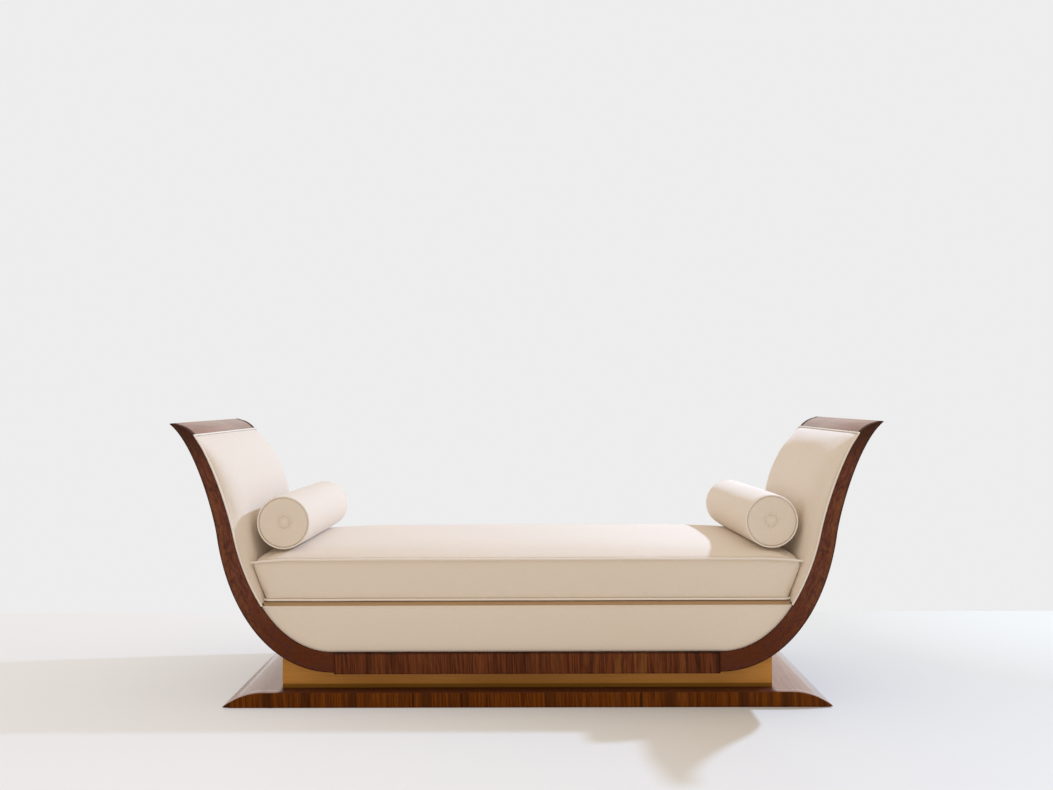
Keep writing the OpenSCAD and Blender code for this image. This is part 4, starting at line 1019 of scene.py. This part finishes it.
# worn look: drooping ends, ears, boxing that swells at the corners, wavering seams and pulls
def cushionWear(co):
    c, w = cushion, wear
    x, y, z = co.T.copy()
    wide, deep = np.abs(x), np.abs(y)
    share = np.clip((z - c["lowSeam"]) / (c["topSeam"] - c["lowSeam"]), 0, 1)
    halfX = mix(c["low"], c["top"], share)
    outer = smooth(*w["outer"], deep)
    co[:, 2] -= share * (w["droop"] * smooth(*w["droopFrom"], wide) * (.6 + .4 * outer)
                         + w["earDroop"] * smooth(*w["earDroopFrom"], wide) * outer)
    near = np.exp(-(((wide - halfX) / w["earRun"])**2 + ((deep - c["depth"]) / w["earRun"])**2))
    seamNear = np.maximum(np.exp(-((z - c["topSeam"]) / w["seamRun"])**2),
                          np.exp(-((z - c["lowSeam"]) / w["seamRun"])**2) * .4)
    end = smooth(w["spreadRun"], 0, halfX - wide) * (z > c["lowSeam"] - w["nearSeam"][1])
    co[:, 0] += np.sign(x) * (w["ear"] * near * seamNear + w["spread"] * end * outer * np.sqrt(share + .05))
    co[:, 1] += np.sign(y) * w["ear"] * w["sideEar"] * near * seamNear
    low, high = z > c["lowSeam"] - w["nearSeam"][0], z > c["topSeam"] + w["nearSeam"][0]
    fromSide, fromEnd, level = c["depth"] - deep, c["top"] - wide, np.column_stack((x, y, 0 * z))
    inward = np.clip(np.minimum(fromSide, fromEnd) / w["topRun"], 0, 1)
    pull = np.exp(-fromSide / w["pullRun"]) + np.exp(-fromEnd / w["pullRun"])
    co[:, 2] += high * (uneven(level, *w["topWaves"]) * inward
                        + uneven(level * 2.2 + (0, 0, 1), *w["pullWaves"]) * pull)
    co[:, 2] += low * uneven(level, *w["seamWaves"]) * seamNear
    below = c["topSeam"] - z
    side = np.clip(below / w["sideRun"], 0, 1) * np.clip((z - c["lowSeam"]) / w["sideRun"], 0, 1)
    places = np.column_stack((x, y, z))
    wave = uneven(places, *w["sideWaves"]) + uneven(places * (1.6, 1.6, .5), *w["smallWaves"])
    foldX, foldLean, foldRun, foldDepth = w["fold"]
    fold = np.exp(-((wide - (foldX - below * foldLean)) / foldRun)**2) * share * foldDepth
    onSide = deep > c["depth"] - w["sideStart"]
    co[:, 1] += np.sign(y) * (wave - fold) * side * onSide
    co[:, 0] += np.sign(x) * wave * side * ~onSide
    co[:, 2] = np.where(high, np.minimum(co[:, 2], troughLevel(co[:, 0], co[:, 1])), co[:, 2])
    # the arm cloth holds the ends back
    for i in np.flatnonzero(np.abs(co[:, 0]) > w["endsFrom"]):
        wall = armWall(1 if co[i, 0] > 0 else -1, co[i, 1], co[i, 2])
        clear = w["wallClear"][0 if seamNear[i] > .3 else 1]
        co[i, 0] = np.sign(co[i, 0]) * min(abs(co[i, 0]), wall - clear)
    return co


def cushionPiece():
    c, w = cushion, cushionWelt
    flatX, flatY = c["top"] - c["corner"], c["depth"] - c["corner"]
    cornerStops = c["corner"] * np.sin(np.linspace(0, pi / 2, 7))
    xs = np.concatenate((np.linspace(0, c["flatRun"], 31)[:-1],
                         np.linspace(c["flatRun"], flatX, 24)[:-1], flatX + cornerStops))
    ys = np.concatenate((np.linspace(0, flatY, 15)[:-1], flatY + cornerStops))
    xs, ys = (np.concatenate((-half[::-1], half[1:])) for half in (xs, ys))
    px, py = cushionPlan(xs, ys, c["top"], 0)
    dome = np.maximum((1 - np.abs(px / c["top"])**6) * (1 - np.abs(py / c["depth"])**4), 0)
    pz = np.minimum(c["topSeam"] + c["brow"] + c["crown"] * dome**.85,
                    troughLevel(px, py) - c["bolsterClear"])
    # each ring of the side is a level, how far it is drawn in, and its share of the way down
    levels = [(c["topSeam"], c["topNotch"], 0)]
    high, low = c["topSeam"] - c["groove"], c["lowSeam"] + c["step"]
    levels += [(mix(high, low, s), -c["bow"] * sin(pi * s)**.7, s) for s in c["boxing"]]
    levels += [(c["lowSeam"] - drop, draw, 1) for drop, draw in ((0, c["notch"]), *c["under"])]
    rim = rimOf(len(xs), len(ys))
    rings = []
    for z, draw, s in levels:
        gx, gy = cushionPlan(xs, ys, mix(c["top"], c["low"], s), draw)
        rings.append(np.stack((gx, gy, 0 * gx + z), 2).reshape(-1, 3)[rim])
    gx, gy = cushionPlan(xs, ys, c["low"], c["floorDraw"])
    piece, loops = pillow("seatCushion", np.stack((px, py, pz), 2), np.stack((px, py), 2), rings,
                          np.stack((gx, gy, 0 * gx + c["floor"]), 2))
    topSeam, lowSeam, under = loops[1], loops[-4], loops[-3][0]
    most = np.full(len(piece.data.vertices), c["lift"])
    most[px.size:] = c["sideLift"]
    fillOut(piece, topSeam + lowSeam + list(range(under, len(most))), c["pressure"], most, slack=c["slack"])
    co = cushionWear(coordinates(piece))
    setCoordinates(piece, co)
    seams = []
    for loop, notch in ((topSeam, c["topNotch"]), (lowSeam, c["notch"])):
        # the welt lies just outside the seam
        line = co[loop]
        way = np.roll(line, -1, 0) - np.roll(line, 1, 0)
        out = np.stack((way[:, 1], -way[:, 0], 0 * way[:, 0]), 1) / np.linalg.norm(way, axis=1)[:, None]
        seams.append(line + out * np.sign((out * line).sum(1))[:, None] * (notch + w["out"]))
    subdivided(piece)
    upholster(piece, "seat_cushion", c["fill"], "cushion_cover", "cushion_foam")
    welts = weltPiece("cushionWelts", seams, True, w["waver"], w["waverScale"], w["seed"], w["radius"])
    upholster(welts, "seat_cushion", welt["fill"], "cushion_welts")


cushionPiece()
print("cushion made")


# rings of a bolster cover, from the front button over both ends, as radius and place along the axis
def bolsterRings():
    b = bolster
    rim, seat = b["radius"] - b["draw"], b["half"] - b["dish"]
    section = [(button["radius"] * .55, seat - b["dimple"] - button["sink"])]
    for s in np.linspace(0, 1, 14):
        r = mix(button["radius"] * .85, rim - b["reach"], s)
        dimple = b["dimple"] * exp(-(max(r - button["radius"], 0) / b["dimpleRun"])**2)
        section.append((r, b["half"] - b["dish"] * (1 - s)**2.4 - dimple))
    section += [(rim - inwards, b["half"] - back) for inwards, back in b["rim"]]
    body = [(b["radius"] - b["draw"] * abs(t)**4, t * (b["half"] - b["bodyEnd"]))
            for t in np.linspace(1, -1, b["along"])]
    return section + body + [(r, -z) for r, z in reversed(section)], len(section)


def flatEnds(points, faces):
    return [[(points[i][0], points[i][2]) for i in face] for face in faces]


def bolsterCover(side, hand):
    b = bolster
    full, ends = bolsterRings()
    around, rows, plain = b["around"], len(full), ends - len(b["rim"])
    run = np.concatenate(([0], np.cumsum([dist(p, q) for p, q in zip(full, full[1:])])))
    r, z = np.array(full).T[:, :, None]
    a, row = np.linspace(0, 2 * pi, around, endpoint=False), np.arange(rows)[:, None]
    spread = np.maximum(0, 1 - (r - button["radius"]) / b["puckerRun"])
    fold = np.sin(a * 9 + 2.1 * np.sin(a * 2 + hand + z) + hand) + .6 * np.sin(a * 14 + 1.3)
    pucker = b["pucker"] * fold * spread**1.5 * np.minimum(1, r / button["radius"])
    pucker = pucker * ((row < plain) | (row >= rows - plain))
    round_ = np.dstack((np.cos(a) * r * 2, z + 0 * a, np.sin(a) * r * 2))
    r = r + uneven(round_, *bolsterWaves[hand]) * ((row >= ends) & (row < rows - ends))
    points = np.dstack((r * np.cos(a), -(z + np.copysign(pucker, z)), r * np.sin(a))).reshape(-1, 3)
    faces = tubeFaces(rows, around)
    sheets = flatEnds(points, faces)
    arc = 2 * pi / around * b["radius"]
    for i in range((ends - 1) * around, (rows - ends) * around):
        row, col = divmod(i, around)
        u, uNext = col * arc, (col + 1) * arc
        sheets[i] = [(u, run[row]), (uNext, run[row]), (uNext, run[row + 1]), (u, run[row + 1])]
    piece = makePiece(f"{side}Bolster", points, faces, creamCloth, sheets=sheets)
    held = [i for i in range(len(points)) if not ends <= i // around < rows - ends]
    fillOut(piece, held, b["pressure"], b["lift"])
    co = bolsterPlace(hand, coordinates(piece))
    low = co[:, 2] < b["z"] - b["radius"] * .9
    co[low, 2] = np.maximum(co[low, 2], b["z"] - b["radius"] - b["seat"])
    setCoordinates(piece, co)
    subdivided(piece)
    return piece


def coveredButtons(side, hand):
    b, r0, profile, around = bolster, button["radius"], button["profile"], button["around"]
    seat, tall = b["half"] - b["dish"] - b["dimple"], button["thick"] + b["dimple"] * .5
    turns = np.linspace(0, 2 * pi, around, endpoint=False)
    points, faces = [], []
    for end in (-1, 1):
        first = len(points)
        points += [(r0 * r * cos(a), end * (seat + tall * h), r0 * r * sin(a))
                   for r, h in profile for a in turns]
        points += [(0, end * (seat + tall), 0), (0, end * seat, 0)]
        last = first + (len(profile) - 1) * around
        new = gridFaces(len(profile), around, first, ring=True)
        new += [(last + i, last + (i + 1) % around, last + around) for i in range(around)]
        new += [(first + (i + 1) % around, first + i, last + around + 1) for i in range(around)]
        faces += [tuple(reversed(face)) for face in new] if end < 0 else new
    return makePiece(f"{side}BolsterButtons", bolsterPlace(hand, points), faces, creamCloth,
                     sheets=flatEnds(points, faces))


def rimWelts(side, hand):
    b, w = bolster, bolsterWelt
    r = b["radius"] - b["draw"] - w["radius"] + w["inset"]
    angles = np.linspace(0, 2 * pi, w["stops"], endpoint=False)
    rims = [bolsterPlace(hand, [(r * cos(a), end * (b["half"] - w["radius"]), r * sin(a))
                                for a in angles]) for end in (-1, 1)]
    return weltPiece(f"{side}BolsterWelts", rims, True, w["waver"], w["waverScale"], 4 + hand, w["radius"])


def bolsterPieces():
    for side, hand in hands.items():
        name = f"{side}_bolster"
        upholster(bolsterCover(side, hand), name, bolster["fill"], f"{name}_cover", f"{name}_core")
        upholster(rimWelts(side, hand), name, welt["fill"], f"{name}_welts")
        upholster(coveredButtons(side, hand), name, button["fill"], f"{name}_buttons")


bolsterPieces()
print("bolsters made")


# CAD nodes that are carried over
inner = {
    carcassWood: ("base_ribs", "pedestal_corner_blocks", "pedestal_webs", "pedestal_ledgers",
                  "sickle_dowels", "bottom_panel", "hull_bulkheads", "left_arm_battens",
                  "right_arm_battens", "left_arm_stretchers", "right_arm_stretchers",
                  "seat_long_rails", "seat_end_rails", "apron_boards"),
    zincSteel: ("base_bolts", "hull_bolts"),
    feltPad: ("floor_glides",),
    juteWeb: ("left_arm_webbing", "right_arm_webbing", "seat_webbing", "left_bolster_twine",
              "right_bolster_twine"),
    plinthTop: ("base_top_panel",),
}
for material, names in inner.items():
    for name in names:
        mesh = nodes[name].data
        mesh.materials.clear()
        mesh.materials.append(material)
print("inner nodes finished")


# the floor's stops are colours over the share of the lamp's light that is left there
studio = {"wallLine": 1.0, "blur": .002, "wall": ink(.847, .847, .847), "pale": ink(.885, .875, .88),
          "floor": ((.0, ink(.95, .945, .93)), (.16, ink(.905, .885, .845)),
                    (.36, ink(.755, .72, .645)), (.72, ink(.60, .55, .445))),
          "farFloor": ink(.97, .96, .94), "farFrom": (.2, 1.1), "dimFrom": (.42, .2),
          "whiten": (-1.3, 1.1, .42, .06), "reach": 40,
          "sky": ink(1.0, .915, .84), "skyRun": (.1, .9), "skyShades": (.70, .86),
          "lampPlace": (2.33, .86, 2.48), "lamp": 385, "lampSize": .065, "lampTint": (.48, .655, 1.0)}


def stageFloor():
    s, finish = studio, Finish("studioFloor")
    place, x, y, z = finish.axes()
    seen = finish.add("LightPath")["Is Camera Ray"]
    beyond = y.between(s["wallLine"] - s["blur"], s["wallLine"] + s["blur"])
    # the colour makes up for the fall of the lamp's light over the floor
    lampX, lampY, lampZ = s["lampPlace"]
    away = (x - lampX) * (x - lampX) + (y - lampY) * (y - lampY) + lampZ * lampZ
    fall = (away ** -1.5) * (lampZ**3 * .98 + finish.noise(place, .8) * .02)
    tone = finish.layers(finish.add("ValToRGB", {0: fall}, stops=s["floor"]),
                         (y.between(*s["farFrom"]) * fall.between(*s["dimFrom"]) * .4, s["farFloor"]))
    matt = finish.add("BsdfPrincipled",
                      {"Base Color": tone, "Roughness": .6, "Specular IOR Level": .2})
    pale, wall = (finish.add("Emission", {0: s[key]}) for key in ("pale", "wall"))
    # painted light: a pale glow seen only by the camera, strong at the left and faint at the right,
    # lightens the floor and its shadows
    ground = finish.add("MixShader", {0: seen * x.between(*s["whiten"]), 1: matt, 2: pale})
    both = finish.add("MixShader", {0: beyond * seen, 1: ground, 2: wall})
    finish.add("OutputMaterial", {"Surface": both})
    mesh = bpy.data.meshes.new("studioFloor")
    corners = [(sx * s["reach"], sy * s["reach"], 0) for sx, sy in ((-1, -1), (1, -1), (1, 1), (-1, 1))]
    mesh.from_pydata(corners, [], [(0, 1, 2, 3)])
    mesh.materials.append(finish.material)
    inScene("studioFloor", mesh)


def lights():
    s = studio
    lamp = bpy.data.lights.new("key", "POINT")
    lamp.energy, lamp.shadow_soft_size, lamp.color = s["lamp"], s["lampSize"], s["lampTint"]
    key = inScene("key", lamp)
    key.location = s["lampPlace"]
    key.visible_camera = False
    scene.world = bpy.data.worlds.new("studio")
    scene.world.use_nodes = True
    sky = Web(scene.world.node_tree)
    level = sky.add("SeparateXYZ", {0: sky.add("TexCoord")["Generated"]})[2]
    height = sky.add("MapRange", dict(enumerate((level, *s["skyRun"], *s["skyShades"]))))
    light = sky.add("Background", {0: s["sky"], 1: height})
    back = sky.add("Background", {0: s["wall"]})
    seen = sky.add("LightPath")["Is Camera Ray"]
    sky.add("OutputWorld", {0: sky.add("MixShader", {0: seen, 1: light, 2: back})})


stageFloor()
lights()
print("studio lit")
